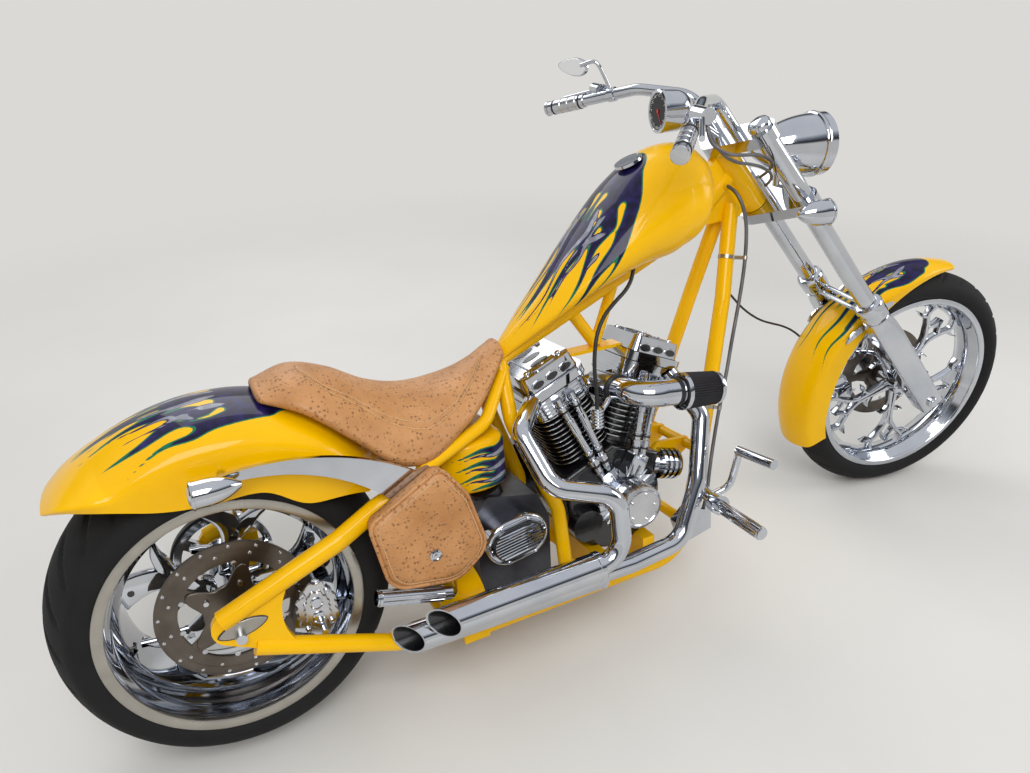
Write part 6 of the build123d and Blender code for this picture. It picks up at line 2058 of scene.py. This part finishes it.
def main() -> None:
    """Build the motorcycle's looks in order."""
    logging.basicConfig(level=logging.INFO, format="%(name)s: %(message)s")
    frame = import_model()
    stand = Stand.read(frame["joints"])
    Studio(stand).build()
    coat_solids(frame)
    FuelTank(stand).build()
    Fender(
        "rear_fender_sheet", "rear_fender", "chassis", stand.bike, axle=(0, 329),
        sections=(
            (35, 412, 150, 345), (48, 424, 151, 276), (70, 424, 151, 270), (92, 414, 151, 256), (112, 404, 150, 296),
            (121, 401, 147, 342), (127, 399, 124, 372), (132, 397, 84, 385)
        ),
        under=Flames(
            licks(
                (74, (500, 0), (610, 4), (720, 0), (870, 8)),
                (42, (540, 62), (606, 88), (668, 80), (734, 104), (812, 110)),
                (26, (590, 34), (664, 46), (744, 36), (846, 50)), (14, (604, 96), (650, 126), (704, 130), (770, 152))
            ),
            licks(
                (13, (622, 40), (650, 34), (684, 38)), (9, (660, 72), (690, 64), (722, 68)),
                (8, (602, 74), (622, 86), (650, 88)), (8, (700, 18), (728, 12), (764, 18)), tip=1.4
            ),
            18.0
        ),
        over=Flames(
            licks(
                (13, (600, 12), (668, 26), (742, 14), (856, 28)), (12, (588, 56), (648, 58), (706, 78), (790, 72)),
                (9, (640, 88), (684, 56), (742, 52), (812, 34)), lead=0.22
            ),
            licks((4.0, (640, 60), (656, 58), (672, 60)), tip=0.8), 9.0
        )
    ).build()
    Fender(
        "front_fender_sheet", "front_fender", "front_end", stand.fork, axle=(60, 0),
        sections=(
            (38, 384, 40, 368), (56, 386, 66, 350), (80, 382, 76, 318), (105, 380, 80, 300), (132, 380, 80, 292),
            (163, 386, 74, 300)
        ),
        under=Flames(
            licks(
                (40, (372, 0), (440, 4), (530, 0), (640, 4)),
                (20, (392, 40), (448, 58), (512, 50), (590, 66), (660, 64)),
                (7, (560, 18), (650, 34), (730, 26), (800, 40)), (6, (570, 52), (660, 70), (740, 62), (820, 82))
            ),
            licks((8, (440, 26), (468, 20), (500, 24)), tip=1.2) + licks((5, (500, 44), (524, 40), (548, 46)), tip=1.0),
            12.0
        ),
        over=Flames(
            licks(
                (9, (404, 8), (460, 26), (520, 10), (610, 26)), (7, (430, 44), (480, 30), (540, 40), (600, 30)),
                lead=0.22
            ),
            (), 6.0
        )
    ).build()
    for parts in (OilTank, Seat, SaddleBag):
        parts(stand).build()
    rear_hub = stand.bike @ lift(0.329) @ UPRIGHT
    front_hub = stand.fork @ moved(0.060, 0, 0) @ UPRIGHT
    Wheel(
        "rear_wheel_billet", "rear_wheel", "rear_wheel", rear_hub,
        rim=mirrored(
            ((211, 60), (226, 80), (229, 106), (245, 113), (247, 116), (247, 118)),
            ((226, 116), (222, 106), (220, 92), (215, 78), (204, 66), (201, 50), (200, 0))
        ),
        hub=((10.8, -62), (38, -62), (42, -58), (42, -16), (42, 16), (42, 58), (38, 62), (10.8, 62)),
        lip=((247, 117), (247.5, 120), (246.5, 123), (244, 124), (229, 122.5), (226.5, 121), (225.5, 117)),
        blade=(
            stroke(((2, 34), (14, 80), (24, 126), (14, 166), (-14, 206)), (40, 36, 42, 50, 62)),
            stroke(((22, 108), (52, 132), (78, 150), (112, 160)), (26, 30, 20, 1.5)),
            stroke(((-2, 70), (-26, 96), (-58, 108)), (18, 16, 1.5))
        ),
        blade_depth=24.0, blade_inner=-12.0, hole=(-2, 184, 6.5)
    ).build()
    Wheel(
        "front_wheel_billet", "front_wheel", "front_wheel", front_hub,
        rim=mirrored(
            ((254, 18), (266, 37), (280, 43), (281.5, 46)), ((264, 46), (260, 40), (252, 26), (245, 16), (243, 0))
        ),
        hub=((9.8, -42), (30, -42), (34, -38), (34, 38), (30, 42), (9.8, 42)),
        lip=((281, 45), (282, 47), (281, 50), (279, 51), (266, 50), (264, 48), (263, 45)),
        blade=both_hands(
            (
                stroke(
                    ((10, 28), (7, 70), (5, 112), (10, 150), (34, 186), (58, 214), (50, 250)),
                    (16, 11, 10, 12, 13, 12, 16), 30
                ),
                stroke(((30, 178), (14, 196), (3, 222)), (12, 8, 1.2), 10),
                stroke(((54, 206), (70, 200), (92, 204)), (12, 8, 1.2), 10),
                stroke(((7, 96), (22, 108), (42, 108)), (10, 8, 1.2), 10)
            )
        ),
        blade_depth=22.0, blade_inner=-11.0, bevel=2.4, lip_coat=Coat.CHROME
    ).build()
    Tyre(
        "rear_road_tyre", "rear_tyre", "rear_wheel", rear_hub, tread=tyre_section(329, 190, 112, 127, 272, 122, 247),
        inside=((-112, 246.5), (-104, 230), (104, 230), (112, 246.5)), grooves=26, sweep=1.1
    ).build()
    Tyre(
        "front_road_tyre", "front_tyre", "front_wheel", front_hub,
        tread=tyre_section(350, 62, 50, 58, 302, 48.5, 282.5),
        inside=((-41, 281.5), (-36, 267), (36, 267), (41, 281.5)), grooves=30, sweep=0.9, depth=3.0
    ).build()
    BrakeDisc("rear_disc", "rear_wheel", rear_hub @ lift(0.090)).build()
    BrakeDisc("front_disc", "front_wheel", front_hub @ lift(-0.060) @ Matrix.Rotation(pi, 4, "X")).build()
    for parts in (Engine, Intake, Gearbox, Exhausts, ChassisTrim, BarTrim, ForkLegs, ForkBrace, CaliperFace, LooseHose):
        parts(stand).build()


if __name__ == "__main__":
    main()
